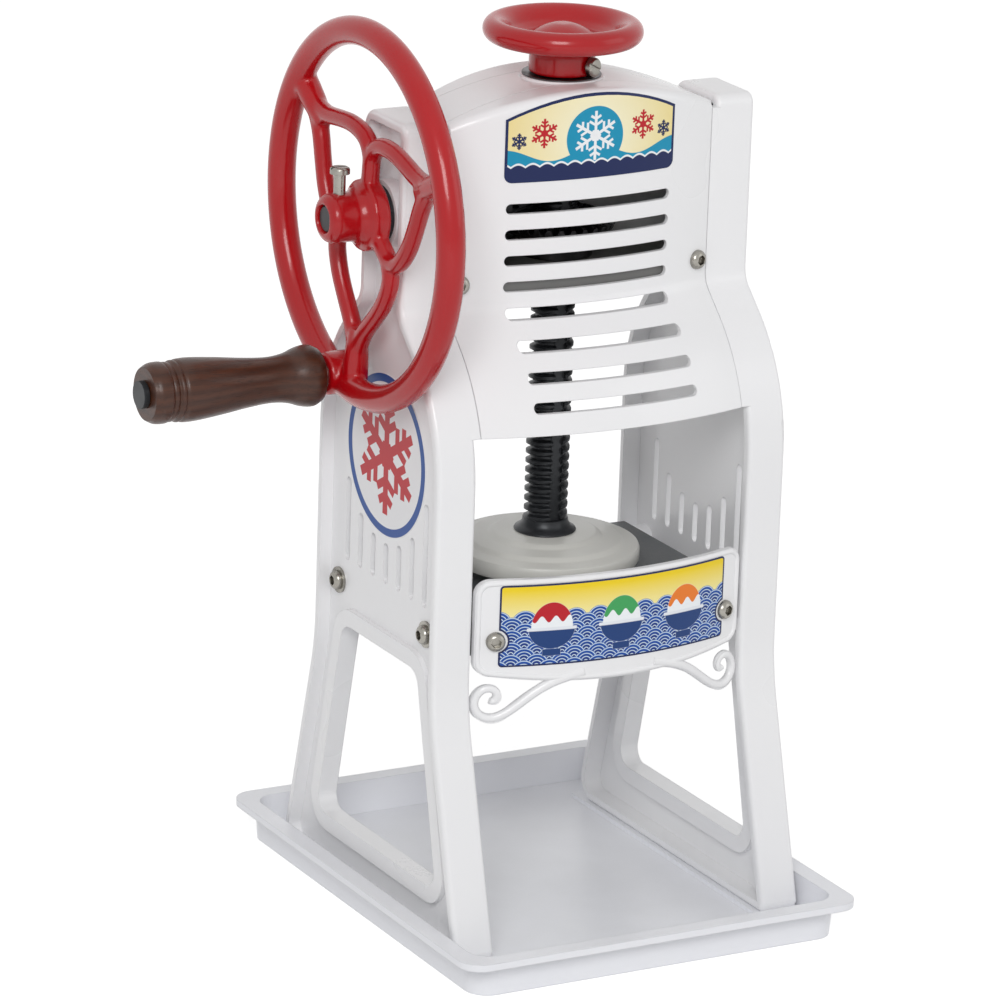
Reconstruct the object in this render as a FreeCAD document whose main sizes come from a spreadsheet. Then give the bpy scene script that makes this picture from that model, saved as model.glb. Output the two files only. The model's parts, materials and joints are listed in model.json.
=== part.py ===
import FreeCAD, Part
import Sketcher
import math
import os
import re

from FreeCAD import Placement, Rotation, Vector

# A hand cranked ice shaver. Two cast side frames stand in a drip tray and carry a crank shaft, a
# bevel drive, a press screw with its plate and handwheel, and the blade table.
# X runs along the crank shaft, Y from front to back, Z up; the origin is the middle of the tray's
# underside. Lengths are in millimetres and angles in degrees.

doc = FreeCAD.newDocument("ice_shaver")
sheet = doc.addObject("Spreadsheet::Sheet", "Sizes")

SIZES = [
    # Tray
    ("tray_width", 227), ("tray_depth", 271), ("tray_height", 20.5), ("tray_rim", 7),
    ("rim_drop", 3.7), ("tray_wall", 2.5), ("tray_corner", 12), ("tray_taper", 4.5),
    ("feet_height", 5), ("pad_width", 25),
    # Side frames
    ("frame_inner", 78), ("frame_width", 21.5), ("flange", 5), ("outer_recess", 7),
    ("inner_recess", 10), ("edge_round", 2.5), ("frame_top", 417.5), ("spindle_back", 7),
    ("neck_front", 23.5), ("neck_rear", 21.5), ("neck_height", 321.5), ("neck_round", 12),
    ("waist_front", 69), ("waist_rear", 62.5), ("shoulder_height", 280), ("shoulder_round", 90),
    ("knee_height", 127), ("knee_round", 120), ("foot_front", 104), ("foot_rear", 93.5),
    ("rail_height", 28), ("opening_top", 141.5), ("leg_width", 25), ("opening_rim", 9),
    ("rim_proud", 3), ("slot_count", 7), ("slot_pitch", 14), ("slot_width", 5),
    ("slot_bottom", 174.5), ("slot_arch", 46), ("emblem_height", 241.5), ("lug_reach", 12),
    ("lug_thick", 11), ("bearing_boss", 17), ("bolt_boss", 8),
    # Head covers and bridges
    ("cover_wall", 2.5), ("cover_bow", 220), ("cover_bottom", 266), ("arch_top", 430),
    ("arch_radius", 195), ("cover_round", 5), ("cover_return", 6), ("seam_gap", 0.3),
    ("seat_lip", 3.2), ("vent_count", 8), ("vent_pitch", 13.3), ("vent_top", 372),
    ("vent_half", 46.5), ("vent_height", 5.3), ("cover_screw_out", 68),
    ("cover_screw_height", 334), ("rear_bottom", 308), ("bridge_low", 326),
    ("bridge_thick", 12), ("bridge_bolt_step", 9), ("screw_radius", 2.5),
    ("top_bridge_low", 400), ("arch_thick", 9), ("nut_length", 21), ("nut_radius", 16),
    ("nut_shoulder", 0.8), ("seat_proud", 0.4),
    # Blade table, apron and blade
    ("table_top", 171), ("table_thick", 8), ("table_back", 60), ("cheek_depth", 18),
    ("cheek_width", 12), ("bolt_height", 161.6), ("bolt_radius", 3), ("bolt_front", 47.75),
    ("bolt_rear", 47.75), ("blade_length", 56), ("blade_width", 22), ("blade_thick", 2.5),
    ("throat", 9), ("apron_bow", 208), ("apron_front", 75),
    ("apron_half", 76), ("apron_low", 143), ("apron_sag", 5), ("apron_high", 193.5),
    ("apron_wall", 3), ("apron_corner", 8), ("apron_screw_out", 66), ("scroll_width", 3.2),
    # Crank
    ("crank_height", 367.5), ("rim_plane", 109), ("rim_radius", 91.5), ("rim_thick", 7.3),
    ("spoke_angle", 36), ("spider_face", 111.5), ("spider_thick", 9), ("spider_round", 2.4),
    ("spider_waist", 42), ("hub_radius", 12.5), ("hub_end", 132),
    ("hub_start", 102.5), ("hub_round", 4), ("hub_blend", 6), ("shaft_radius", 7),
    ("nose_radius", 5), ("shaft_end", 19.5), ("bush_radius", 10), ("bush_flange", 14.5),
    ("bearing_near", 48), ("bearing_far", 64), ("running_gap", 0.05), ("pin_angle", -75),
    ("pin_circle", 90), ("pin_radius", 4), ("boss_radius", 11), ("grip_start", 122),
    ("grip_length", 94), ("clamp_out", 123), ("clamp_proud", 10),
    # Bevel drive
    ("tooth_module", 2), ("gear_teeth", 30), ("pinion_teeth", 12), ("face_width", 10),
    ("pressure_angle", 20), ("backlash", 0.36), ("gear_addendum", 1.2), ("gear_dedendum", 2.4),
    ("pinion_addendum", 2), ("pinion_dedendum", 1.7), ("hub_outer", 15), ("thrust_gap", 0.4),
    # Press screw
    ("spindle_radius", 11.2), ("spigot_radius", 8), ("key_width", 5), ("key_depth", 2.4),
    ("key_gap", 0.3), ("plate_radius", 48.9), ("plate_low", 176), ("plate_edge", 5.5),
    ("plate_top", 185.5), ("spike_count", 6), ("spike_circle", 36), ("spike_length", 10),
    ("spike_thick", 3), ("spike_reach", 3.2), ("collar_radius", 16), ("collar_height", 6),
    ("wheel_height", 452.7), ("wheel_radius", 34.4), ("wheel_thick", 6), ("neck_radius", 16.7),
    ("neck_low", 431.4), ("screw_angle", -64),
    # Fasteners
    ("head_radius", 5), ("head_height", 3.4), ("washer_radius", 6.8), ("washer_thick", 1.2),
    ("cross_pin_radius", 1.5),
]
ALIASES = [alias for alias, value in SIZES]
for row, (alias, value) in enumerate(SIZES, start=1):
    sheet.set("A%d" % row, alias)
    sheet.set("B%d" % row, str(value))
    sheet.setAlias("B%d" % row, alias)
doc.recompute()

SIDE_ON = Rotation(Vector(1, 1, 1), 120)
FRONT_ON = Rotation(Vector(1, 0, 0), 90)
PIECES = []


def size(alias):
    """The value of one driving dimension."""
    return float(sheet.get(alias))


def bind(feature, prop, formula):
    """Ties a property to a formula of the sheet's aliases."""
    def cell(found):
        word = found.group(0)
        return "Sizes." + word if word in ALIASES else word
    feature.setExpression(prop, re.sub(r"[a-z][a-z_]*", cell, formula))


# Plane outlines

def polar(radius, degrees, centre=(0.0, 0.0)):
    """A plane point at a radius and an angle from a centre."""
    turn = math.radians(degrees)
    return (centre[0] + radius * math.cos(turn), centre[1] + radius * math.sin(turn))


def outline(start, steps):
    """A face from a start point and steps: (x, y) is a line, (xm, ym, x, y) an arc through xm, ym."""
    edges = []
    here = Vector(*start, 0)
    for step in steps + [start]:
        there = Vector(step[-2], step[-1], 0)
        if len(step) == 4:
            edges.append(Part.Arc(here, Vector(step[0], step[1], 0), there).toShape())
        elif (there - here).Length > 1e-6:
            edges.append(Part.LineSegment(here, there).toShape())
        here = there
    return Part.Face(Part.Wire(edges))


def rounded(corners, radii):
    """A face from a polygon whose corners are arcs of the given radii, 0 for a sharp one."""
    count = len(corners)
    stretches = []
    for i in range(count):
        here = Vector(*corners[i], 0)
        back = (Vector(*corners[i - 1], 0) - here).normalize()
        ahead = (Vector(*corners[(i + 1) % count], 0) - here).normalize()
        half = back.getAngle(ahead) / 2
        reach = radii[i] / math.tan(half)
        inward = (back + ahead).normalize()
        top = here + inward * (radii[i] / math.sin(half) - radii[i])
        stretches.append((here + back * reach, top, here + ahead * reach))
    steps = []
    for i in range(count):
        start, top, end = stretches[i]
        if radii[i] > 0:
            steps.append((top.x, top.y, end.x, end.y))
        following = stretches[(i + 1) % count][0]
        steps.append((following.x, following.y))
    first = stretches[0][0]
    return outline((first.x, first.y), steps[:-1])


def rectangle(low, high, radius=0.0):
    """A rectangle between two opposite corners."""
    corners = [(low[0], low[1]), (high[0], low[1]), (high[0], high[1]), (low[0], high[1])]
    return rounded(corners, [radius] * 4)


def disc(centre, radius):
    """A round face."""
    return Part.Face(Part.Wire(Part.Circle(Vector(*centre, 0), Vector(0, 0, 1), radius).toShape()))


def ring(centre, outer, inner):
    """A round face with a round hole."""
    return disc(centre, outer).cut(disc(centre, inner))


def inset(face, distance):
    """The face drawn in by an even distance, or grown when the distance is negative."""
    return face.makeOffset2D(-distance, 2, False, False, False)


# Bodies and their features

def body(label, base=(0, 0, 0)):
    """A body whose label names the piece."""
    made = doc.addObject("PartDesign::Body", label)
    made.Label = label
    made.Placement = Placement(Vector(*base), Rotation())
    PIECES.append(made)
    return made


def solid(label, shape):
    """A piece whose shape is made outside a body."""
    made = doc.addObject("Part::Feature", label)
    made.Label = label
    made.Shape = shape
    PIECES.append(made)
    return made


def sketch(owner, role, shape, along="0"):
    """A sketch of a plane shape on an origin plane, moved along the plane's normal by a formula."""
    drawn = owner.newObject("Sketcher::SketchObject", owner.Name + "_sketch")
    base = [f for f in owner.Origin.OriginFeatures if f.Role == role][0]
    drawn.AttachmentSupport = [(base, "")]
    drawn.MapMode = "FlatFace"
    bind(drawn, "AttachmentOffset.Base.z", along)
    for edge in [e for face in shape.Faces for wire in face.Wires for e in wire.Edges]:
        first, last = edge.FirstParameter, edge.LastParameter
        start, end = edge.valueAt(first), edge.valueAt(last)
        if edge.Curve.TypeId == "Part::GeomLine":
            drawn.addGeometry(Part.LineSegment(start, end), False)
        elif start.distanceToPoint(end) < 1e-7:
            drawn.addGeometry(Part.Circle(edge.Curve.Center, Vector(0, 0, 1), edge.Curve.Radius), False)
        else:
            drawn.addGeometry(Part.Arc(start, edge.valueAt((first + last) / 2), end), False)
    return drawn


def pad(owner, drawn, length, backwards=False, taper=None):
    """Raises a sketch by a formula's length."""
    made = owner.newObject("PartDesign::Pad", owner.Name + "_pad")
    made.Profile = drawn
    bind(made, "Length", length)
    made.Reversed = backwards
    if taper:
        bind(made, "TaperAngle", taper)
    return made


def pocket(owner, drawn, length, backwards=False):
    """Sinks a sketch by a formula's length and makes sure that it cuts."""
    doc.recompute()
    before = owner.Shape.Volume
    made = owner.newObject("PartDesign::Pocket", owner.Name + "_pocket")
    made.Profile = drawn
    bind(made, "Length", length)
    made.Reversed = backwards
    doc.recompute()
    if owner.Shape.Volume > before - 1e-3:
        raise ValueError("%s cuts nothing" % made.Name)
    return made


def revolve(owner, drawn, axis):
    """A full turn of a sketch about its own H_Axis or V_Axis."""
    made = owner.newObject("PartDesign::Revolution", owner.Name + "_turn")
    made.Profile = drawn
    made.ReferenceAxis = (drawn, [axis])
    made.Angle = 360
    return made


def fillet(owner, chosen, radius):
    """Rounds the edges of the body's present shape that a test picks."""
    doc.recompute()
    tip = owner.Tip
    names = ["Edge%d" % (i + 1) for i, e in enumerate(tip.Shape.Edges) if chosen(e)]
    made = owner.newObject("PartDesign::Fillet", owner.Name + "_round")
    made.Base = (tip, names)
    bind(made, "Radius", radius)
    return made


def turned(label, shape, axis, base):
    """A piece turned about Z, drawn as (radius, height), or about X, drawn as (x, radius)."""
    made = body(label, base)
    revolve(made, sketch(made, "XZ_Plane", shape), "V_Axis" if axis == "Z" else "H_Axis")
    return made


def round_bar(start, end, radius):
    """A round bar between two points."""
    way = Vector(*end) - Vector(*start)
    return Part.makeCylinder(radius, way.Length, Vector(*start), way)


def cap_screw(head_at, way, radius, length, washer=0.0):
    """A screw: its head sits on head_at, on a washer if one is given, and its shank runs along way."""
    head_radius, head_height = size("head_radius"), size("head_height")
    way = Vector(*way).normalize()
    seat = Vector(*head_at) - way * washer
    shank = Part.makeCylinder(radius, length + washer, seat, way)
    head = Part.makeCylinder(head_radius, head_height, seat, way * -1)
    edge = [e for e in head.Edges if e.Curve.TypeId == "Part::GeomCircle"
            and (e.Curve.Center - seat).Length > head_height / 2]
    head = head.makeFillet(head_height * 0.45, edge)
    slot = Part.makeBox(head_radius * 3, head_height * 0.4, head_height * 0.4)
    slot.translate(Vector(-head_radius * 1.5, -head_height * 0.2, head_height * 0.65))
    slot.Placement = Placement(seat, Rotation(Vector(0, 0, 1), way * -1)).multiply(slot.Placement)
    return shank.fuse(head).cut(slot).removeSplitter()


# Tray

def tray():
    """The drip tray: tapered sides, a flat rim and two raised pads for the frames' feet."""
    made = body("tray")
    drop = size("tray_height") * math.tan(math.radians(size("tray_taper")))
    half = (size("tray_width") / 2 - size("tray_rim") - drop,
            size("tray_depth") / 2 - size("tray_rim") - drop)
    low = rectangle((-half[0], -half[1]), half, size("tray_corner"))
    pad(made, sketch(made, "XY_Plane", low), "tray_height", taper="tray_taper")
    rim = (size("tray_width") / 2, size("tray_depth") / 2)
    flat = rectangle((-rim[0], -rim[1]), rim, size("tray_corner"))
    pad(made, sketch(made, "XY_Plane", flat, "tray_height - rim_drop"), "rim_drop")
    wall = size("tray_wall")
    well = rectangle((wall - half[0], wall - half[1]), (half[0] - wall, half[1] - wall),
                     size("tray_corner") - wall)
    doc.recompute()
    before = made.Shape.Volume
    sink = made.newObject("PartDesign::Pocket", "tray_well")
    sink.Profile = sketch(made, "XY_Plane", well, "tray_wall")
    bind(sink, "Length", "tray_height")
    sink.Reversed = True
    bind(sink, "TaperAngle", "tray_taper")
    doc.recompute()
    if made.Shape.Volume > before * 0.6:
        raise ValueError("the tray has no well")
    for side in (-1, 1):
        middle = side * (size("frame_inner") + size("frame_width") / 2)
        reach = size("pad_width") / 2
        front = size("spindle_back") - size("foot_front") - 3
        rear = size("spindle_back") + size("foot_rear") + 3
        strip = rectangle((middle - reach, front), (middle + reach, rear), 3)
        pad(made, sketch(made, "XY_Plane", strip, "tray_wall / 2"), "feet_height - tray_wall / 2")
    return made


# Side frames

def frame_outline():
    """The frame's outline in (y, z): narrow head, sloping shoulders, waist and two spread legs."""
    middle = size("spindle_back")
    neck = (middle - size("neck_front"), middle + size("neck_rear"))
    waist = (middle - size("waist_front"), middle + size("waist_rear"))
    foot = (middle - size("foot_front"), middle + size("foot_rear"))
    floor, knee, shoulder = size("feet_height"), size("knee_height"), size("shoulder_height")
    collar, top = size("neck_height"), size("frame_top")
    corners = [(foot[0], floor), (foot[1], floor), (waist[1], knee), (waist[1], shoulder),
               (neck[1], collar), (neck[1], top), (neck[0], top), (neck[0], collar),
               (waist[0], shoulder), (waist[0], knee)]
    knee_round, shoulder_round, collar_round = size("knee_round"), size("shoulder_round"), size("neck_round")
    radii = [4, 12, knee_round, shoulder_round, collar_round, 10, 6, collar_round, shoulder_round, knee_round]
    return rounded(corners, radii)


def leg_opening():
    """The window between the legs in (y, z)."""
    middle = size("spindle_back")
    low, high = size("feet_height") + size("rail_height"), size("opening_top")

    def leg_edge(foot, waist, height):
        share = (height - size("feet_height")) / (size("knee_height") - size("feet_height"))
        return size(foot) + (size(waist) - size(foot)) * min(share, 1) - size("leg_width")

    corners = [(middle - leg_edge("foot_front", "waist_front", low), low),
               (middle + leg_edge("foot_rear", "waist_rear", low), low),
               (middle + leg_edge("foot_rear", "waist_rear", high), high),
               (middle - leg_edge("foot_front", "waist_front", high), high)]
    return rounded(corners, [8, 8, 10, 10])


def panel_slots():
    """Upright slots with round ends: level at the bottom, their tops on an arch round the emblem."""
    slots = []
    count, half = int(size("slot_count")), size("slot_width") / 2
    for i in range(count):
        across = (i - (count - 1) / 2) * size("slot_pitch") - 2
        top = size("emblem_height") - math.sqrt(size("slot_arch") ** 2 - across ** 2)
        middle = size("spindle_back") + across
        slots.append(rectangle((middle - half, size("slot_bottom")), (middle + half, top), half - 0.01))
    return Part.makeCompound(slots)


def bridge_bolt_places():
    """The (|x|, y) of the bolts that hold each bridge to the frames' lugs."""
    out = size("frame_inner") - size("lug_reach") / 2
    reach = size("bridge_bolt_step")
    return [(side * out, size("spindle_back") + step) for side in (-1, 1) for step in (-reach, reach)]


def side_frame(label, side):
    """A cast frame: edge flange, web, leg opening with its rim, slots, lugs and bosses."""
    made = body(label)
    left = side < 0
    sign = "-" if left else ""

    def plane(shape, out):
        return sketch(made, "YZ_Plane", shape, "%s(%s)" % (sign, out))

    whole = frame_outline()
    opening = leg_opening()
    pad(made, plane(whole, "frame_inner"), "frame_width", left)
    fillet(made, lambda e: abs(e.BoundBox.XMax - e.BoundBox.XMin) < 1e-6, "edge_round")
    hollow = inset(whole, size("flange"))
    pocket(made, plane(hollow, "frame_inner + frame_width"), "outer_recess", left)
    pocket(made, plane(hollow, "frame_inner"), "inner_recess", not left)
    rim = inset(opening, -size("opening_rim")).common(inset(whole, 1))
    deep = "frame_width - inner_recess - outer_recess + 2 * rim_proud"
    pad(made, plane(rim, "frame_inner + inner_recess - rim_proud"), deep, left)
    pocket(made, plane(opening, "frame_inner - 1"), "frame_width + 2", not left)
    pocket(made, plane(panel_slots(), "frame_inner - 1"), "frame_width + 2", not left)
    middle = size("spindle_back")
    bolts = [(middle + size("bolt_rear"), size("bolt_height")),
             (middle - size("bolt_front"), size("bolt_height"))]
    bosses = Part.makeCompound([disc(at, size("bolt_boss")) for at in bolts])
    pad(made, plane(bosses, "frame_inner"), "inner_recess", left)
    holes = Part.makeCompound([disc(at, size("bolt_radius") + 0.2) for at in bolts])
    pocket(made, plane(holes, "frame_inner - 1"), "frame_width + 2", not left)
    for top in ("bridge_low", "top_bridge_low"):
        lug = rectangle((middle - 18, size(top) - size("lug_thick")), (middle + 18, size(top)))
        pad(made, plane(lug, "frame_inner - lug_reach"), "lug_reach + inner_recess", left)
    strip = whole.cut(inset(whole, size("cover_return")))
    low, high = (-200, size("cover_bottom")), (middle - 5, size("frame_top") - 6)
    strip = strip.common(rectangle(low, high))
    pad(made, plane(strip, "frame_inner - seat_lip"), "seat_lip + edge_round", left)
    drill = Part.makeCompound([disc(at, size("bolt_radius")) for at in bridge_bolt_places() if at[0] * side > 0])
    for top in ("bridge_low", "top_bridge_low"):
        pocket(made, sketch(made, "XY_Plane", drill, top + " + 0.5"), "lug_thick + 1")
    if left:
        centre = (middle, size("crank_height"))
        pad(made, plane(disc(centre, size("bearing_boss")), "frame_inner"), "frame_width", left)
        bore = plane(disc(centre, size("bush_radius")), "frame_inner - 1")
        pocket(made, bore, "frame_width + 2", not left)
    return made


# Head covers and bridges

def arch_height(across):
    """The height of the head's arched top at a distance from its middle."""
    radius = size("arch_radius")
    return size("arch_top") - radius + math.sqrt(radius ** 2 - across ** 2)


def cover_front(half, low, drop=0.0):
    """The cover's outline in (x, z): straight sides and an arched top."""
    top = arch_height(half) - drop
    steps = [(half, low), (half, top), (0, size("arch_top") - drop, -half, top)]
    return outline((-half, low), steps)


def cover_half():
    """Half the width of the front cover, which sits between the frames' front lips."""
    return size("frame_inner") - size("seat_lip") - size("seam_gap")


def bow_reach(neck, half):
    """How far the upright axis of a cover's bow lies beyond the spindle, from the neck's depth."""
    return math.sqrt(size("cover_bow") ** 2 - half ** 2) - size(neck)


def cover_profile(neck, waist, half, draw_in):
    """A slice of the head in (distance from the bow's axis, z), drawn in from its front."""
    bow = size("cover_bow")
    swell = math.hypot(bow_reach(neck, half) + size(waist), half)
    corners = [(bow - 120, 230), (swell, 230), (swell, size("shoulder_height")),
               (bow, size("neck_height")), (bow, 450), (bow - 120, 450)]
    slice_face = rounded(corners, [0, 0, size("shoulder_round"), size("neck_round"), 0, 0])
    return inset(slice_face, draw_in) if draw_in else slice_face


def bowed(profile, axis, spread=30):
    """Turns a (radius, z) slice about an upright axis at a depth to a block that faces forward."""
    block = profile.copy()
    block.Placement = Placement(Vector(0, axis, 0), FRONT_ON)
    block.rotate(Vector(0, axis, 0), Vector(0, 0, 1), -90 - spread)
    return block.revolve(Vector(0, axis, 0), Vector(0, 0, 1), 2 * spread)


def upright(face, front, back):
    """A front view face as a block between two depths."""
    block = face.copy()
    block.Placement = Placement(Vector(0, back, 0), FRONT_ON)
    return block.extrude(Vector(0, front - back, 0))


def bow_screw_place(axis, bow, out, side):
    """Where a screw's axis meets a bowed face at an |x|, and its way towards the bow's axis."""
    deep = math.sqrt(bow ** 2 - out ** 2)
    return (side * out, axis - deep), (-side * out / bow, deep / bow)


def screw_holes(axis, bow, out, height, radius):
    """The two holes through a bowed wall for its screws."""
    holes = []
    for side in (-1, 1):
        place, way = bow_screw_place(axis, bow + 5, out * (bow + 5) / bow, side)
        holes.append(Part.makeCylinder(radius, 30, Vector(*place, height), Vector(*way, 0)))
    return holes


def head_cover(neck, waist, half, low, vented):
    """A bowed cover that faces forward from the spindle: a shell with a rounded arched top."""
    wall, axis = size("cover_wall"), bow_reach(neck, half)
    back = size("cover_return") - size(neck)
    blocks = []
    for draw_in, turn in ((0, size("cover_round")), (wall, size("cover_round") - wall)):
        extra = 1 if draw_in else 0
        front = upright(cover_front(half + extra, low - extra, draw_in), -120, back + extra)
        block = bowed(cover_profile(neck, waist, half, draw_in), axis).common(front)
        arch = [e for e in block.Edges if e.BoundBox.ZMin > size("neck_height") + 30
                and e.BoundBox.XLength > half and e.BoundBox.YMax < back + extra - 1]
        blocks.append(block.makeFillet(turn, arch))
    shell = blocks[0].cut(blocks[1])
    cuts = screw_holes(axis, size("cover_bow"), size("cover_screw_out"), size("cover_screw_height"),
                       size("screw_radius") + 0.2)
    relief = size("nut_radius") + 5 + size("seam_gap")
    cuts.append(Part.makeCylinder(relief, 40, Vector(0, 0, size("arch_top") - 20)))
    for i in range(int(size("vent_count")) if vented else 0):
        height = size("vent_top") - i * size("vent_pitch")
        reach, rise = size("vent_half"), size("vent_height") / 2
        vent = rectangle((-reach, height - rise), (reach, height + rise), rise - 0.01)
        cuts.append(upright(vent, -120, back))
    return shell.cut(cuts).removeSplitter()


def covers():
    """The vented front cover and the plain, shorter rear cover."""
    middle = size("spindle_back")
    front = head_cover("neck_front", "waist_front", cover_half(), size("cover_bottom"), True)
    front.translate(Vector(0, middle, 0))
    solid("front_cover", front)
    half = size("frame_inner") - size("seam_gap")
    rear = head_cover("neck_rear", "waist_rear", half, size("rear_bottom"), False)
    rear.rotate(Vector(), Vector(0, 0, 1), 180)
    rear.translate(Vector(0, middle, 0))
    solid("rear_cover", rear)


def top_bridge():
    """The arched casting between the heads, with end blocks and a boss for the feed nut."""
    made = body("top_bridge")
    half = size("frame_inner") - size("seam_gap")
    low, thick = size("top_bridge_low"), size("arch_thick")
    end = half - size("lug_reach") - 4
    steps = [(-end, low), (-end, low + thick), (0, size("arch_top") - thick, end, low + thick),
             (end, low), (half, low), (half, arch_height(half)), (0, size("arch_top"), -half, arch_height(half))]
    face = outline((-half, low), steps)
    front = "neck_front - spindle_back - cover_return - seam_gap"
    deep = "neck_front + neck_rear - 2 * cover_return - 2 * seam_gap"
    pad(made, sketch(made, "XZ_Plane", face, front), deep, True)
    centre = (0, size("spindle_back"))
    boss = disc(centre, size("nut_radius") + 5)
    pad(made, sketch(made, "XY_Plane", boss, "arch_top + seat_proud"), "nut_length + 5 + seat_proud", True)
    pocket(made, sketch(made, "XY_Plane", disc(centre, size("nut_radius")), "arch_top - 5"), "nut_length + 9")
    clear = disc(centre, size("nut_radius") - size("nut_shoulder"))
    pocket(made, sketch(made, "XY_Plane", clear, "arch_top + 1"), "8")
    holes = Part.makeCompound([disc(at, size("bolt_radius")) for at in bridge_bolt_places()])
    pocket(made, sketch(made, "XY_Plane", holes, "top_bridge_low - 1"), "9", True)
    return made


def bridge_outline():
    """The lower plate's outline in (x, y): bowed like both covers, notched for the frames' lips."""
    middle, gap = size("spindle_back"), size("seam_gap")
    bow = size("cover_bow") - size("cover_wall") - gap
    half, lip = size("frame_inner") - gap, cover_half()
    notch = middle - size("neck_front") + size("cover_return") + gap
    front_axis = middle + bow_reach("neck_front", lip)
    rear_axis = middle - bow_reach("neck_rear", half)
    front_side = front_axis - math.sqrt(bow ** 2 - lip ** 2)
    rear_side = rear_axis + math.sqrt(bow ** 2 - half ** 2)
    steps = [(-lip, notch), (-lip, front_side), (0, front_axis - bow, lip, front_side), (lip, notch),
             (half, notch), (half, rear_side), (0, rear_axis + bow, -half, rear_side)]
    return outline((-half, notch), steps)


def gear_bridge():
    """The lower cross plate: the gear turns in it, and a lug carries the shaft's inner bearing."""
    middle, centre = size("spindle_back"), size("crank_height")
    low, thick = size("bridge_low"), size("bridge_thick")
    plate = bridge_outline().extrude(Vector(0, 0, thick))
    plate.translate(Vector(0, 0, low))
    near, far = size("bearing_near"), size("bearing_far")
    lug = Part.makeBox(far - near, 30, centre - low, Vector(-far, middle - 15, low))
    lug = lug.fuse(round_bar((-far, middle, centre), (-near, middle, centre), 15))
    cuts = [round_bar((-far - 1, middle, centre), (-near + 1, middle, centre), size("bush_radius"))]
    seat = size("hub_outer") + size("running_gap")
    cuts.append(Part.makeCylinder(seat, thick + 2, Vector(0, middle, low - 1)))
    for x, y in bridge_bolt_places():
        cuts.append(Part.makeCylinder(size("bolt_radius"), thick + 2, Vector(x, y, low - 1)))
    for neck, half, turn in (("neck_front", cover_half(), 0),
                             ("neck_rear", size("frame_inner") - size("seam_gap"), 180)):
        for hole in screw_holes(bow_reach(neck, half), size("cover_bow"), size("cover_screw_out"),
                                size("cover_screw_height"), size("screw_radius")):
            short = hole.common(Part.makeCylinder(400, 400))
            short.rotate(Vector(), Vector(0, 0, 1), turn)
            short.translate(Vector(0, middle, 0))
            cuts.append(short)
    return solid("gear_bridge", plate.fuse(lug).cut(cuts).removeSplitter())


# Blade table, blade and apron

def apron_axis():
    """The y of the upright axis that the apron's bow is struck from."""
    return size("apron_bow") - size("apron_front")


def blade_table():
    """The table: a plate with a bowed front, a throat for the blade and bolted cheeks below."""
    half, middle = size("frame_inner") - size("seam_gap"), size("spindle_back")
    bow = size("apron_bow") - size("apron_wall") - size("seam_gap")
    side = apron_axis() - math.sqrt(bow ** 2 - half ** 2)
    top, thick, back = size("table_top"), size("table_thick"), size("table_back")
    steps = [(half, back), (half, side), (0, apron_axis() - bow, -half, side)]
    plate = outline((-half, back), steps).extrude(Vector(0, 0, thick))
    plate.translate(Vector(0, 0, top - thick))
    width, depth = size("cheek_width"), size("cheek_depth")
    reach = back - side
    cheeks = [Part.makeBox(width, reach, depth, Vector(x, side, top - depth)) for x in (-half, half - width)]
    throat = rectangle((-2, middle - size("blade_length") + 4), (size("throat") - 2, middle - 4), 2)
    throat.translate(Vector(0, 0, top - thick - 1))
    cuts = [throat.extrude(Vector(0, 0, thick + 2))]
    for y in (middle + size("bolt_rear"), middle - size("bolt_front")):
        cuts.append(round_bar((-half + 10, y, size("bolt_height")), (-half - 1, y, size("bolt_height")),
                              size("bolt_radius")))
        cuts.append(round_bar((half - 10, y, size("bolt_height")), (half + 1, y, size("bolt_height")),
                              size("bolt_radius")))
    cuts += screw_holes(apron_axis(), size("apron_bow"), size("apron_screw_out"), size("bolt_height"),
                        size("screw_radius"))
    for y in blade_screw_rows():
        place = Vector(1 + size("blade_width") * 0.6, y, top - thick - 1)
        cuts.append(Part.makeCylinder(size("screw_radius"), 6, place))
    return solid("blade_table", plate.fuse(cheeks).cut(cuts).removeSplitter())


def blade():
    """The shaving blade: a flat strip under the table with a ground edge along the throat."""
    middle = size("spindle_back")
    width, thick, length = size("blade_width"), size("blade_thick"), size("blade_length")
    steps = [(width, 0), (width, -thick), (thick, -thick)]
    strip = outline((0, 0), steps)
    strip.Placement = Placement(Vector(0, middle - 2, 0), FRONT_ON)
    shape = strip.extrude(Vector(0, -length, 0))
    shape.translate(Vector(1, 0, size("table_top") - size("table_thick")))
    holes = [Part.makeCylinder(size("screw_radius"), 20, Vector(1 + width * 0.6, y, 150))
             for y in blade_screw_rows()]
    return solid("blade", shape.cut(holes))


def blade_screw_rows():
    """The y of the two blade screws."""
    middle = size("spindle_back") - 2
    return [middle - size("blade_length") * share for share in (0.22, 0.78)]


def scroll(side):
    """A scroll's face in (x, z): a thin band that leaves the apron's lower edge and curls back on itself."""
    line = [(26, 141), (38, 137.8), (48, 132), (57, 125), (65.5, 120), (72.4, 122), (75, 128.4), (72.6, 134.6),
            (67.6, 136.6), (63.8, 133.4), (65.8, 129.6)]
    centre = Part.BSplineCurve()
    centre.interpolate([Vector(side * x, z, 0) for x, z in line])
    first, last = centre.FirstParameter, centre.LastParameter
    borders = []
    for way in (-0.5, 0.5):
        points = []
        for k in range(31):
            at = first + (last - first) * k / 30
            tangent = centre.tangent(at)[0]
            points.append(centre.value(at) + Vector(-tangent.y, tangent.x, 0) * way * size("scroll_width"))
        border = Part.BSplineCurve()
        border.interpolate(points)
        borders.append((border.toShape(), points))
    ends = [Part.LineSegment(borders[0][1][k], borders[1][1][k]).toShape() for k in (0, -1)]
    return Part.Face(Part.Wire([borders[0][0], ends[1], borders[1][0], ends[0]]))


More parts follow.
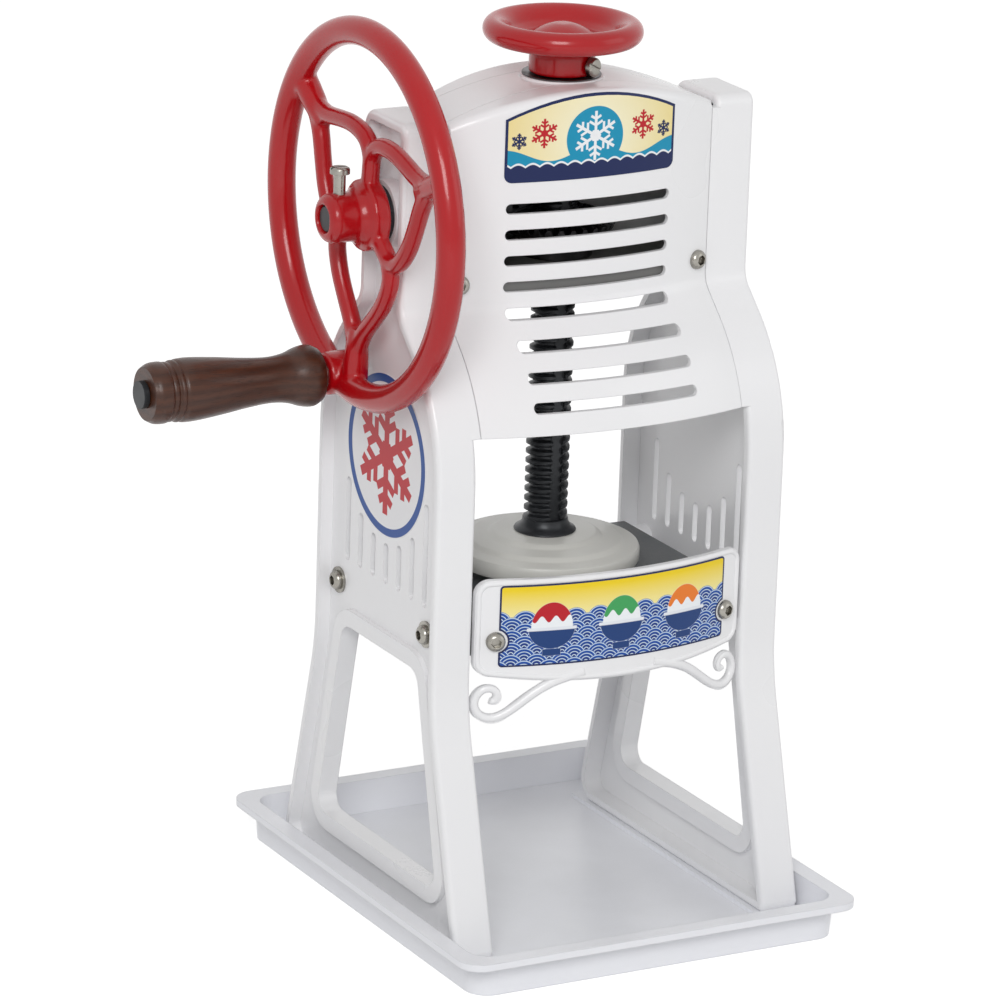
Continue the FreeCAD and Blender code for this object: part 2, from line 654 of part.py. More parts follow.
def front_apron():
    """The bowed apron plate in front of the table: a sagging lower edge with a scroll at each end."""
    half, high, low = size("apron_half"), size("apron_high"), size("apron_low")
    turn = size("apron_corner")
    diagonal = turn * (1 - math.sqrt(0.5))
    steps = [(-half + diagonal, low + diagonal, -half + turn, low),
             (0, low - size("apron_sag"), half - turn, low),
             (half - diagonal, low + diagonal, half, low + turn),
             (half, high - turn), (half - diagonal, high - diagonal, half - turn, high),
             (-half + turn, high), (-half + diagonal, high - diagonal, -half, high - turn)]
    face = outline((-half, low + turn), steps)
    slab = rectangle((size("apron_bow") - size("apron_wall"), low - 40), (size("apron_bow"), high + 10))
    curve = bowed(slab, apron_axis())
    shape = curve.common(upright(face, -120, 0))
    shape = shape.fuse([curve.common(upright(scroll(side), -120, 0)) for side in (-1, 1)])
    holes = screw_holes(apron_axis(), size("apron_bow"), size("apron_screw_out"), size("bolt_height"),
                        size("screw_radius") + 0.2)
    return solid("front_apron", shape.cut(holes).removeSplitter())


# Crank

def crank_base():
    """The crank axis crosses the spindle axis here."""
    return (0, size("spindle_back"), size("crank_height"))


def pin_place():
    """The grip pin's (y, z) from the crank axis."""
    return polar(size("pin_circle"), size("pin_angle"))


def spoke_points(points, side, turn):
    """Points given as (along the spoke, sideways), on one side of a spoke at an angle."""
    way = math.radians(turn)
    return [(along * math.cos(way) - side * wide * math.sin(way), along * math.sin(way) + side * wide * math.cos(way))
            for along, wide in points]


def spider():
    """Three wishbone spokes: looped forks that meet at the waist, with stubs that flare into the rim."""
    rim = size("rim_radius")
    half_line = [polar(rim + 1.5, 8.5), polar(rim - 1.5, 25), (63.5, 13.5), (38.5, 29)]
    half_radii = [0, 0, 8, 16]
    corners, radii = [], []
    for k in range(3):
        turn = size("spoke_angle") + 120 * k
        corners += [polar(size("spider_waist"), turn - 60)]
        corners += spoke_points(half_line[::-1], -1, turn) + spoke_points(half_line, 1, turn)
        radii += [5] + half_radii[::-1] + half_radii
    return rounded(corners, radii)


def spoke_windows():
    """The drop shaped window in each spoke, between its fork's arms and the hub's disc."""
    half_line = [(46, 11), (27, 21), (21.5, 6)]
    half_radii = [15, 4, 5]
    windows = []
    for k in range(3):
        turn = size("spoke_angle") + 120 * k
        corners = spoke_points([(61.5, 0)], 1, turn) + spoke_points(half_line, 1, turn)
        corners += spoke_points(half_line[::-1], -1, turn)
        windows.append(rounded(corners, [2] + half_radii + half_radii[::-1]))
    return Part.makeCompound(windows)


def crank_wheel():
    """The cast wheel: round rim, three wishbone spokes, a long hub and the grip's boss."""
    made = body("crank_wheel", crank_base())
    plane, thick = size("rim_plane"), size("rim_thick")
    star = spider().cut(spoke_windows())
    pad(made, sketch(made, "YZ_Plane", star, "-spider_face"), "spider_thick")
    fillet(made, lambda e: e.BoundBox.XLength < 1e-6, "spider_round")
    revolve(made, sketch(made, "XZ_Plane", disc((-plane, size("rim_radius")), thick)), "H_Axis")
    radius, turn, end, start = size("hub_radius"), size("hub_round"), size("hub_end"), size("hub_start")
    face, blend = size("spider_face"), size("hub_blend")
    near = 1 - math.sqrt(0.5)
    steps = [(-end, radius - turn), (-end + turn * near, radius - turn * near, -end + turn, radius),
             (-face - blend, radius), (-face - blend * near, radius + blend * near, -face, radius + blend),
             (-start, radius + blend), (-start, 0)]
    revolve(made, sketch(made, "XZ_Plane", outline((-end, 0), steps)), "H_Axis")
    boss = disc(pin_place(), size("boss_radius"))
    pad(made, sketch(made, "YZ_Plane", boss, "-rim_plane - rim_thick - 2"), "2 * rim_thick + 2")
    bore = sketch(made, "YZ_Plane", disc((0, 0), size("shaft_radius")), "-hub_end - 1")
    pocket(made, bore, "hub_end - hub_start + 2", True)
    pin = sketch(made, "YZ_Plane", disc(pin_place(), size("pin_radius")), "-rim_plane - 20")
    pocket(made, pin, "40", True)
    drill = disc((-size("clamp_out"), 0), size("bolt_radius"))
    pocket(made, sketch(made, "XY_Plane", drill, "hub_radius + 1"), "hub_radius - shaft_radius + 2")
    return made


def crank_shaft():
    """The shaft: full diameter through both bearings, then a nose that carries the pinion."""
    radius, nose = size("shaft_radius"), size("nose_radius")
    far, step, near = size("hub_end") - 1.5, size("bearing_near") - 5, size("shaft_end")
    steps = [(-far, radius - 1), (-far + 1, radius), (-step, radius), (-step, nose), (-near - 0.5, nose),
             (-near, nose - 0.5), (-near, 0)]
    made = turned("crank_shaft", outline((-far, 0), steps), "X", crank_base())
    pin_hole = disc((-pin_out(), 0), size("cross_pin_radius"))
    pocket(made, sketch(made, "XY_Plane", pin_hole, "shaft_radius + 1"), "2 * shaft_radius + 2")
    return made


def bushes():
    """The two bearing bushes: a flanged one in the left frame and a plain one on the gear bridge."""
    bore, outer = size("shaft_radius") + size("running_gap"), size("bush_radius")
    face = size("frame_inner") + size("frame_width")
    steps = [(-face - 2, size("bush_flange")), (-face, size("bush_flange")), (-face, outer),
             (-size("frame_inner"), outer), (-size("frame_inner"), bore)]
    turned("outer_bush", outline((-face - 2, bore), steps), "X", crank_base())
    far, near = -size("bearing_far"), -size("bearing_near")
    turned("inner_bush", rectangle((far, bore), (near, outer)), "X", crank_base())


def grip_parts():
    """The turned wooden grip, the bolt it spins on and the nut against the wheel's boss."""
    across, height = pin_place()
    base = (0, size("spindle_back") + across, size("crank_height") + height)
    start, length, pin = size("grip_start"), size("grip_length"), size("pin_radius")
    bore = pin + size("running_gap")
    end = start + length
    profile = [(0, 13.5), (0.035, 15.2), (0.09, 15.5), (0.14, 14.2), (0.16, 15.6), (0.25, 16),
               (0.42, 14.5), (0.58, 12.6), (0.72, 11.6), (0.82, 12.6), (0.9, 15), (0.96, 15.6), (1, 14)]
    points = [Vector(-end + share * length, radius, 0) for share, radius in profile]
    shape = Part.BSplineCurve()
    shape.interpolate(points)
    skin = shape.toShape()
    corners = [points[-1], Vector(-start, bore, 0), Vector(-end, bore, 0), points[0]]
    lines = [Part.LineSegment(a, b).toShape() for a, b in zip(corners, corners[1:])]
    face = Part.Face(Part.Wire([skin] + lines))
    wood = face.revolve(Vector(0, 0, 0), Vector(1, 0, 0), 360)
    wood.translate(Vector(*base))
    solid("grip", wood)
    out, head = size("rim_plane") + size("rim_thick") + 2, 7
    steps = [(-end - 3.4, head), (-end - 0.4, head), (-end - 0.4, pin), (-size("rim_plane") + 12, pin),
             (-size("rim_plane") + 12, 0)]
    turned("grip_bolt", outline((-end - 3.4, 0), steps), "X", base)
    nut = body("grip_nut", base)
    points = [polar(8.5, 60 * k + 30) for k in range(6)]
    hexagon = rounded(points, [0] * 6).cut(disc((0, 0), pin))
    face = sketch(nut, "YZ_Plane", hexagon, "-rim_plane - rim_thick - 2")
    pad(nut, face, "grip_start - rim_plane - rim_thick - 2.4", True)


# Bevel drive

def involute_half_angle(radius, base, pitch, half_thickness):
    """Half the tooth's angle at a radius of the back cone's flat development."""
    def inv(at):
        angle = math.acos(min(base / at, 1))
        return math.tan(angle) - angle
    return half_thickness / pitch + inv(pitch) - inv(max(radius, base))


def tooth_section(teeth, other, addendum, dedendum):
    """The tooth's outline at the large end: (along the back cone from the pitch point, sideways)."""
    pitch = size("tooth_module") * teeth / 2
    cone = math.atan2(teeth, other)
    back = pitch / math.cos(cone)
    base = back * math.cos(math.radians(size("pressure_angle")))
    half_thickness = math.pi * size("tooth_module") / 4 - size("backlash") / 2
    flank = []
    for share in (-1, -0.45, 0, 0.5, 1):
        depth = share * (addendum if share > 0 else dedendum)
        radius = back + depth
        half = involute_half_angle(radius, base, back, half_thickness)
        flank.append((radius * math.cos(half) - back, radius * math.sin(half)))
    sunk = (flank[0][0] - 0.6, flank[0][1])
    right = [sunk] + flank
    return right + [(d, -w) for d, w in reversed(right)]


def toothed(teeth, other, addendum, dedendum, first):
    """The ring of teeth about Z with the cones' common apex at the origin and the gear below it."""
    pitch, drop = size("tooth_module") * teeth / 2, size("tooth_module") * other / 2
    reach = math.hypot(pitch, drop)
    shrink = 1 - size("face_width") / reach
    outward, upward = drop / reach, pitch / reach
    section = tooth_section(teeth, other, addendum, dedendum)
    ring_teeth = []
    for k in range(teeth):
        turn = Rotation(Vector(0, 0, 1), first + 360.0 * k / teeth)
        ends = []
        for scale in (1, shrink):
            loop = [turn.multVec(Vector(pitch + d * outward, w, -drop + d * upward)) * scale for d, w in section]
            ends.append(Part.makePolygon(loop + [loop[0]]))
        ring_teeth.append(Part.makeLoft(ends, True, True))
    return ring_teeth


def cone_point(teeth, other, depth, scale):
    """A point of a gear's cone, as (radius, z from the apex), a depth past the pitch point."""
    pitch, drop = size("tooth_module") * teeth / 2, size("tooth_module") * other / 2
    reach = math.hypot(pitch, drop)
    return ((pitch + depth * drop / reach) * scale, (-drop + depth * pitch / reach) * scale)


def bevel_gear():
    """The large bevel gear: teeth up, its hub turning in the gear bridge."""
    gear, pinion = int(size("gear_teeth")), int(size("pinion_teeth"))
    shrink = 1 - size("face_width") / math.hypot(size("tooth_module") * gear / 2, size("tooth_module") * pinion / 2)
    large = cone_point(gear, pinion, -size("gear_dedendum"), 1)
    small = cone_point(gear, pinion, -size("gear_dedendum"), shrink)
    bore = size("spindle_radius") + size("running_gap")
    hub = size("hub_outer")
    top = small[1] - 2
    seat = size("bridge_low") + size("bridge_thick") + size("thrust_gap") - size("crank_height")
    low = size("bridge_low") - size("crank_height")
    steps = [(hub, low), (hub, seat), (hub + 4, seat), (hub + 4, large[1] - 7), (large[0] - 3, large[1] - 3),
             large, small, (small[0] - 3, top), (bore, top)]
    blank = outline((bore, low), steps)
    blank.Placement = Placement(Vector(), FRONT_ON)
    shape = blank.revolve(Vector(0, 0, 0), Vector(0, 0, 1), 360)
    teeth = toothed(gear, pinion, size("gear_addendum"), size("gear_dedendum"), 180.0 / gear)
    shape = shape.fuse(teeth)
    keyway = Part.makeBox(size("key_width"), bore + size("key_depth"), 60)
    keyway.translate(Vector(-size("key_width") / 2, -bore - size("key_depth"), -60))
    shape = shape.cut(keyway)
    shape.translate(Vector(*crank_base()))
    return solid("bevel_gear", shape)


def gear_key():
    """The key in the gear's bore; it slides in the spindle's keyway."""
    bore, gap = size("spindle_radius") + size("running_gap"), size("key_gap")
    low, high = size("bridge_low") + 1, size("crank_height") - 12
    inner = size("spindle_radius") - size("key_depth") + gap
    key = Part.makeBox(size("key_width"), bore + size("key_depth") - inner, high - low)
    key.translate(Vector(-size("key_width") / 2, size("spindle_back") - bore - size("key_depth"), low))
    return solid("gear_key", key)


def bevel_pinion():
    """The small bevel pinion on the shaft's nose, with a hub for its cross pin."""
    gear, pinion = int(size("gear_teeth")), int(size("pinion_teeth"))
    shrink = 1 - size("face_width") / math.hypot(size("tooth_module") * gear / 2, size("tooth_module") * pinion / 2)
    large = cone_point(pinion, gear, -size("pinion_dedendum"), 1)
    small = cone_point(pinion, gear, -size("pinion_dedendum"), shrink)
    nose, step = size("nose_radius"), size("bearing_near") - 5
    steps = [(9, -step), (9, large[1] - 2), (large[0] - 0.4, large[1]), large, small, (nose, small[1])]
    blank = outline((nose, -step), steps)
    blank.Placement = Placement(Vector(), FRONT_ON)
    shape = blank.revolve(Vector(0, 0, 0), Vector(0, 0, 1), 360)
    shape = shape.fuse(toothed(pinion, gear, size("pinion_addendum"), size("pinion_dedendum"), 0))
    shape.rotate(Vector(), Vector(0, 1, 0), 90)
    shape.translate(Vector(*crank_base()))
    hole = round_bar((-pin_out(), 0, size("crank_height") - 20), (-pin_out(), 0, size("crank_height") + 20),
                     size("cross_pin_radius"))
    hole.translate(Vector(0, size("spindle_back"), 0))
    return solid("bevel_pinion", shape.cut(hole))


def pin_out():
    """The |x| of the pinion's cross pin."""
    return size("bearing_near") - 10


def small_drive_parts():
    """The pinion's cross pin and the feed nut in the top bridge."""
    middle, height = size("spindle_back"), size("crank_height")
    pin = round_bar((-pin_out(), middle, height - 9.4), (-pin_out(), middle, height + 9.4),
                    size("cross_pin_radius"))
    solid("pinion_pin", pin)
    bore = size("spindle_radius") + size("running_gap")
    high = size("arch_top") - 5
    nut = rectangle((bore, high - size("nut_length")), (size("nut_radius"), high))
    turned("feed_nut", nut, "Z", (0, middle, 0))
    seat = size("arch_top") + size("seat_proud")
    washer = rectangle((size("spindle_radius") + 1, seat), (size("neck_radius") + 3.3, size("neck_low") - 0.4))
    turned("thrust_ring", washer, "Z", (0, middle, 0))


# Press screw

def spindle():
    """The press screw's core with its keyway; both ends have a thinner spigot."""
    made = body("spindle", (0, size("spindle_back"), 0))
    radius, spigot = size("spindle_radius"), size("spigot_radius")
    plate, neck = size("plate_top"), size("neck_low")
    steps = [(spigot, size("plate_low") + 2), (spigot, plate), (radius, plate), (radius, neck), (spigot, neck),
             (spigot, size("wheel_height") - 1), (0, size("wheel_height") - 1)]
    face = outline((0, size("plate_low") + 2), steps)
    revolve(made, sketch(made, "XZ_Plane", face), "V_Axis")
    half = size("key_width") / 2 + size("key_gap")
    way = rectangle((-half, -radius - 2), (half, -radius + size("key_depth")))
    high = "neck_low - plate_top - 8"
    pocket(made, sketch(made, "XY_Plane", way, "plate_top + 8"), high, True)
    return made


def press_parts():
    """The stepped press plate with its spikes, and the flared collar that holds it."""
    middle = size("spindle_back")
    low, top, edge, rim = size("plate_low"), size("plate_top"), size("plate_edge"), size("plate_radius")
    made = body("press_plate", (0, middle, 0))
    steps = [(rim - 1, low), (rim, low + 1), (rim, low + edge - 1), (rim - 1, low + edge), (rim - 9, low + edge + 0.5),
             (rim - 10, low + edge + 1.8), (28, low + edge + 2.2), (26, top), (size("spigot_radius"), top)]
    face = outline((size("spigot_radius"), low), steps)
    revolve(made, sketch(made, "XZ_Plane", face), "V_Axis")
    spikes = []
    for k in range(int(size("spike_count"))):
        half = (size("spike_length") / 2, size("spike_thick") / 2)
        spike = rectangle((size("spike_circle") - half[0], -half[1]), (size("spike_circle") + half[0], half[1]))
        spike.rotate(Vector(), Vector(0, 0, 1), 360.0 * k / size("spike_count"))
        spikes.append(spike)
    drawn = sketch(made, "XY_Plane", Part.makeCompound(spikes), "plate_low + 1")
    pad(made, drawn, "spike_reach + 1", True)
    radius, wide, high = size("spindle_radius"), size("collar_radius"), top + size("collar_height")
    flare = outline((radius, top), [(wide, top), (wide - 2.4, top + 2.2, radius + 0.6, high), (radius, high)])
    turned("spindle_collar", flare, "Z", (0, middle, 0))


def handwheel():
    """The small dished wheel clamped on the screw's top end."""
    middle, radius, thick = size("spindle_back"), size("wheel_radius"), size("wheel_thick")
    high, low, neck, bore = size("wheel_height"), size("neck_low"), size("neck_radius"), size("spigot_radius")
    outer = radius + thick
    steps = [(neck, low), (neck, low + 10), (neck + 3, low + 13.5, neck + 9, high - 6.6), (radius, high - thick),
             (outer, high, radius, high + thick), (radius - thick * 0.8, high + 3.6, radius - thick * 1.3, high - 0.5),
             (neck + 5, high - 3.5), (neck + 1, high - 3), (neck * 0.6, high + 1.8, 4, high + 3.6),
             (0, high + 3.6), (0, high - 1), (bore, high - 1)]
    made = body("handwheel", (0, middle, 0))
    revolve(made, sketch(made, "XZ_Plane", outline((bore, low), steps)), "V_Axis")
    hole = sketch(made, "XZ_Plane", disc((0, low + 5), size("screw_radius")), "neck_radius + 3")
    pocket(made, hole, "neck_radius + 3 - spigot_radius + 1")
    made.Placement = Placement(Vector(0, middle, 0), Rotation(Vector(0, 0, 1), size("screw_angle") + 90))
    return made


# Fasteners

def screw_sets():
    """Every screw and bolt, each set of like ones in one piece."""
    middle = size("spindle_back")
    radius = size("bolt_radius")
    thin = size("screw_radius")
    front_half, rear_half = cover_half(), size("frame_inner") - size("seam_gap")
    sets = [("cover_screws", bow_reach("neck_front", front_half), size("cover_bow"),
             size("cover_screw_out"), size("cover_screw_height"), middle, 0),
            ("rear_cover_screws", bow_reach("neck_rear", rear_half), size("cover_bow"),
             size("cover_screw_out"), size("cover_screw_height"), middle, 180),
            ("apron_screws", apron_axis(), size("apron_bow"), size("apron_screw_out"),
             size("bolt_height"), 0, 0)]
    for label, axis, bow, out, high, shift, turn in sets:
        screws = []
        for side in (-1, 1):
            place, way = bow_screw_place(axis, bow, out, side)
            screw = cap_screw((place[0], place[1], high), (way[0], way[1], 0), thin, 9)
            screw.rotate(Vector(), Vector(0, 0, 1), turn)
            screw.translate(Vector(0, shift, 0))
            screws.append(screw)
        solid(label, Part.makeCompound(screws))
    web = size("frame_inner") + size("frame_width") - size("outer_recess")
    bolts = []
    washers = []
    for side in (-1, 1):
        for y in (middle + size("bolt_rear"), middle - size("bolt_front")):
            place = (side * web, y, size("bolt_height"))
            flat = size("washer_thick")
            bolts.append(cap_screw(place, (-side, 0, 0), radius, web - size("frame_inner") + 9, flat))
            loop = ring((0, 0), size("washer_radius"), radius)
            loop.Placement = Placement(Vector(side * web, y, size("bolt_height")), SIDE_ON)
            washers.append(loop.extrude(Vector(side * flat, 0, 0)))
    solid("table_bolts", Part.makeCompound(bolts))
    solid("table_washers", Part.makeCompound(washers))
    lug = size("lug_thick")
    top = size("bridge_low") + size("bridge_thick")
    solid("gear_bridge_bolts", Part.makeCompound(
        [cap_screw((x, y, top), (0, 0, -1), radius, size("bridge_thick") + lug)
         for x, y in bridge_bolt_places()]))
    under = size("top_bridge_low") - lug
    solid("top_bridge_bolts", Part.makeCompound(
        [cap_screw((x, y, under), (0, 0, 1), radius, lug + 7) for x, y in bridge_bolt_places()]))
    seat = size("table_top") - size("table_thick") - size("blade_thick")
    solid("blade_screws", Part.makeCompound(
        [cap_screw((1 + size("blade_width") * 0.6, y, seat), (0, 0, 1), thin, size("blade_thick") + 5)
         for y in blade_screw_rows()]))
    proud = size("clamp_proud")
    head_at = (-size("clamp_out"), middle, size("crank_height") + size("hub_radius") + proud)
    reach = proud + size("hub_radius") - size("shaft_radius")
    solid("crank_clamp_bolt", cap_screw(head_at, (0, 0, -1), radius, reach))
    place = polar(size("neck_radius") + 1, size("screw_angle"), (0, middle))
    inward = polar(1, size("screw_angle") + 180)
    depth = size("neck_radius") + 1 - size("spigot_radius")
    solid("handwheel_screw", cap_screw((place[0], place[1], size("neck_low") + 5), (inward[0], inward[1], 0),
                                       thin, depth))


tray()
side_frame("left_frame", -1)
side_frame("right_frame", 1)
covers()
top_bridge()
gear_bridge()
blade_table()
blade()
front_apron()
crank_wheel()
crank_shaft()
bushes()
grip_parts()
bevel_gear()
gear_key()
bevel_pinion()
small_drive_parts()
spindle()
press_parts()
handwheel()
screw_sets()
doc.recompute()

for thing in doc.Objects:
    if "Invalid" in thing.State or "Error" in thing.State:
        raise ValueError("%s is in a bad state: %s" % (thing.Name, thing.State))
for piece in PIECES:
    if piece.Shape.isNull() or not piece.Shape.isValid():
        raise ValueError("%s has a bad shape" % piece.Label)

os.makedirs("parts", exist_ok=True)
for piece in PIECES:
    piece.Shape.exportStep("parts/%s.step" % piece.Label)
    print(piece.Label, len(piece.Shape.Solids), "solids", round(piece.Shape.Volume))
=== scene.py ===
# %% [markdown]
# # A hand cranked ice shaver
#
# The machine is an enamelled casting that stands in a plastic tray. A red wheel at its side turns a
# block of ice, and a long black screw presses the ice down on a blade. The solid shapes come from the
# packed CAD model. This lesson gives them their finishes, adds the pieces that only a picture needs,
# and then sets the light and the camera.
#
# The same machine could be drawn by hand in Blender. Starting from the CAD solids is better here, as
# every hole and gap is already where the real one has it. Lengths in the code are millimetres. They
# turn into metres where a mesh is made, because the scene is in metres.

import json
import math

import bmesh
import bpy
from mathutils import Matrix, Vector


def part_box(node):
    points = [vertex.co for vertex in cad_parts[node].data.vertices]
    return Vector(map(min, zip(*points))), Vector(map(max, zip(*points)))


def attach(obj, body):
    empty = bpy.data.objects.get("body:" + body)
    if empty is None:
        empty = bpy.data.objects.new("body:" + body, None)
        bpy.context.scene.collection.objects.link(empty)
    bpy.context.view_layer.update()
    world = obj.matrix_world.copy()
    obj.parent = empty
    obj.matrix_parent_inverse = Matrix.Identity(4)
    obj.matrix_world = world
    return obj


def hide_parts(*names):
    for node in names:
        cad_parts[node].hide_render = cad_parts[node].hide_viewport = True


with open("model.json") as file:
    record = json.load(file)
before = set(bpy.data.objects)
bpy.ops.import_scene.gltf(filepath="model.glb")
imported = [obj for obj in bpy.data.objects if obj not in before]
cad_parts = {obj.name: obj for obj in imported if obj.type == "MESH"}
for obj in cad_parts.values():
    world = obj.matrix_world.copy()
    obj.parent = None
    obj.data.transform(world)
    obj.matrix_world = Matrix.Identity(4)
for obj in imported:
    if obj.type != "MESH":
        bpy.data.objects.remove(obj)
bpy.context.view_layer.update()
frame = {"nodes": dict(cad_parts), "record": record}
MM = 0.001

# %% [markdown]
# ## Nodes written as formulas
#
# A finish is a picture that a shader works out from the place on the surface. Its nodes could be
# placed one by one, but a wave or a snow crystal takes dozens of Math nodes, and a long list of links
# hides what they do. So a small class stands for one value in a node tree, and each sum on it adds
# the Math node. A pattern then reads as its formula.

# %% Values in a node tree
def plug(tree, socket, value):
    """Feeds a socket with a wire, another socket or a plain value."""
    if isinstance(value, Wire):
        tree.links.new(value.socket, socket)
    elif isinstance(value, bpy.types.NodeSocket):
        tree.links.new(value, socket)
    else:
        socket.default_value = value


class Wire:
    """A value in a node tree."""

    def __init__(self, tree, socket):
        self.tree = tree
        self.socket = socket

    def math(self, operation, *others):
        node = self.tree.nodes.new("ShaderNodeMath")
        node.operation = operation
        for place, value in zip(node.inputs, (self, *others)):
            plug(self.tree, place, value)
        return Wire(self.tree, node.outputs["Value"])

    def __add__(self, other):
        return self.math("ADD", other)

    def __sub__(self, other):
        return self.math("SUBTRACT", other)

    def __mul__(self, other):
        return self.math("MULTIPLY", other)

    def __truediv__(self, other):
        return self.math("DIVIDE", other)

    def plain(self):
        return self.math("ABSOLUTE")

    def low(self, other):
        return self.math("MINIMUM", other)

    def high(self, other):
        return self.math("MAXIMUM", other)

    def ramp(self, start, end):
        """0 up to start, 1 from end on, and a straight rise between them."""
        node = self.tree.nodes.new("ShaderNodeMapRange")
        plug(self.tree, node.inputs["Value"], self)
        plug(self.tree, node.inputs["From Min"], start)
        plug(self.tree, node.inputs["From Max"], end)
        return Wire(self.tree, node.outputs["Result"])

    def below(self, limit, soft=0.12):
        """1 where the value is under a limit, with a short soft step."""
        return (self - limit).ramp(soft, -soft)


print("sums on a wire:", ", ".join(n.strip("_") for n in vars(Wire) if n.startswith("__") and "i" not in n))


# %% Nodes and groups in one line each
def add(tree, kind, settings=None, feeds=None):
    """One node, with its settings and what its sockets take."""
    node = tree.nodes.new(kind)
    for name, value in (settings or {}).items():
        setattr(node, name, value)
    for name, value in (feeds or {}).items():
        plug(tree, node.inputs[name], value)
    return node


def noise(tree, vector, scale, detail=2.0):
    """A cloudy value from 0 to 1. A higher scale makes its clouds smaller."""
    feeds = {"Vector": vector, "Scale": scale, "Detail": detail}
    return Wire(tree, add(tree, "ShaderNodeTexNoise", None, feeds).outputs["Fac"])


def length(across, up):
    return (across * across + up * up).math("SQRT")


def mix(tree, share, first, second):
    """A colour between two colours."""
    node = tree.nodes.new("ShaderNodeMix")
    node.data_type = "RGBA"
    plug(tree, node.inputs["Factor"], share)
    for place, value in zip([s for s in node.inputs if s.type == "RGBA"], (first, second)):
        plug(tree, place, value)
    return [s for s in node.outputs if s.type == "RGBA"][0]


def new_group(name, takes, gives):
    """An empty node group with named inputs and outputs."""
    group = bpy.data.node_groups.new(name, "ShaderNodeTree")
    for label, kind, start in takes:
        socket = group.interface.new_socket(name=label, in_out="INPUT", socket_type="NodeSocket" + kind)
        if start is not None:
            socket.default_value = start
    for label, kind in gives:
        group.interface.new_socket(name=label, in_out="OUTPUT", socket_type="NodeSocket" + kind)
    return group, group.nodes.new("NodeGroupInput").outputs, group.nodes.new("NodeGroupOutput").inputs


def use(tree, group, feeds=None):
    """Places a group in a tree, and returns its outputs."""
    node = tree.nodes.new("ShaderNodeGroup")
    node.node_tree = group
    for name, value in (feeds or {}).items():
        plug(tree, node.inputs[name], value)
    return node.outputs


def paint(red, green, blue):
    """A colour as a picture has it, 0 to 255 each, turned into the linear colour that a shader takes."""
    shares = [level / 255 for level in (red, green, blue)]
    return tuple(s / 12.92 if s <= 0.04045 else ((s + 0.055) / 1.055) ** 2.4 for s in shares) + (1.0,)


print("enamel's red, as a shader takes it:", [round(share, 3) for share in paint(182, 8, 18)])

# %% [markdown]
# ## The skin of a casting
#
# Enamel on a sand casting is never flat. It flows into a fine orange peel about a millimetre wide,
# and the metal under it waves a little over a few centimetres. Both show only where light glances
# off. They could be modelled, but that would take millions of faces. Two noises added as a height do
# it, and the height is in millimetres, so that each finish can say how deep it is.

# %% Group: casting skin
casting_skin, took, gave = new_group(
    "Casting skin",
    [("Vector", "Vector", None), ("Peel", "Float", 0.01), ("Wave", "Float", 0.06)],
    [("Height", "Float"), ("Patches", "Float")],
)
fine = noise(casting_skin, took["Vector"], 620.0, 1.5) * took["Peel"]
broad = noise(casting_skin, took["Vector"], 26.0) * took["Wave"]
plug(casting_skin, gave["Height"], fine + broad)
plug(casting_skin, gave["Patches"], noise(casting_skin, took["Vector"], 11.0).ramp(0.2, 0.8))
print("group:", casting_skin.name)

# %% [markdown]
# ## Edges
#
# A knife-sharp edge looks false, because paint draws back from it and fingers polish it. Bevelling
# every solid would change its mesh. The Bevel node bends only the shading, as if each edge were
# round. Where its normal leaves the face's own, there is an edge, so the same node also gives a mask
# for wear.

# %% Groups: soft edge and edge wear
soft_edge, took, gave = new_group("Soft edge", [("Radius", "Float", 0.0006)], [("Normal", "Vector")])
rounding = add(soft_edge, "ShaderNodeBevel", {"samples": 4}, {"Radius": took["Radius"]})
plug(soft_edge, gave["Normal"], rounding.outputs["Normal"])

edge_wear, took, gave = new_group(
    "Edge wear",
    [("Vector", "Vector", None), ("Radius", "Float", 0.0008), ("Amount", "Float", 0.5)],
    [("Mask", "Float")],
)
rounding = add(edge_wear, "ShaderNodeBevel", {"samples": 4}, {"Radius": took["Radius"]})
facing = add(edge_wear, "ShaderNodeVectorMath", {"operation": "DOT_PRODUCT"})
plug(edge_wear, facing.inputs[0], rounding.outputs["Normal"])
plug(edge_wear, facing.inputs[1], add(edge_wear, "ShaderNodeNewGeometry").outputs["Normal"])
bend = Wire(edge_wear, facing.outputs["Value"]).ramp(0.95, 0.76)
spots = noise(edge_wear, took["Vector"], 180.0, 4.0).ramp(0.42, 0.66)
plug(edge_wear, gave["Mask"], bend * spots * took["Amount"])
print("groups:", soft_edge.name, "and", edge_wear.name)

# %% [markdown]
# ## Dust
#
# Even a clean machine on a shelf has a little dust where a surface faces up. A mask from the way the
# face looks, broken up by noise, puts it there and nowhere else.

# %% Group: settled dust
settled_dust, took, gave = new_group(
    "Settled dust", [("Vector", "Vector", None), ("Amount", "Float", 0.3)], [("Mask", "Float")]
)
facing = add(settled_dust, "ShaderNodeSeparateXYZ")
plug(settled_dust, facing.inputs[0], add(settled_dust, "ShaderNodeNewGeometry").outputs["Normal"])
upward = Wire(settled_dust, facing.outputs["Z"]).ramp(0.55, 1.0)
clouds = noise(settled_dust, took["Vector"], 45.0, 6.0).ramp(0.35, 0.7)
grains = noise(settled_dust, took["Vector"], 900.0, 1.0).ramp(0.45, 0.75)
plug(settled_dust, gave["Mask"], upward * (clouds * 0.6 + grains * 0.4) * took["Amount"])
print("group:", settled_dust.name)

# %% [markdown]
# ## A finish for a whole slot
#
# The record says which finish each node of the machine has. A material is made once for each slot
# and then put on all its nodes. Every painted piece has the same parts, a colour with lighter and
# darker patches, a skin and soft edges, so one function makes a painted finish with its own values.

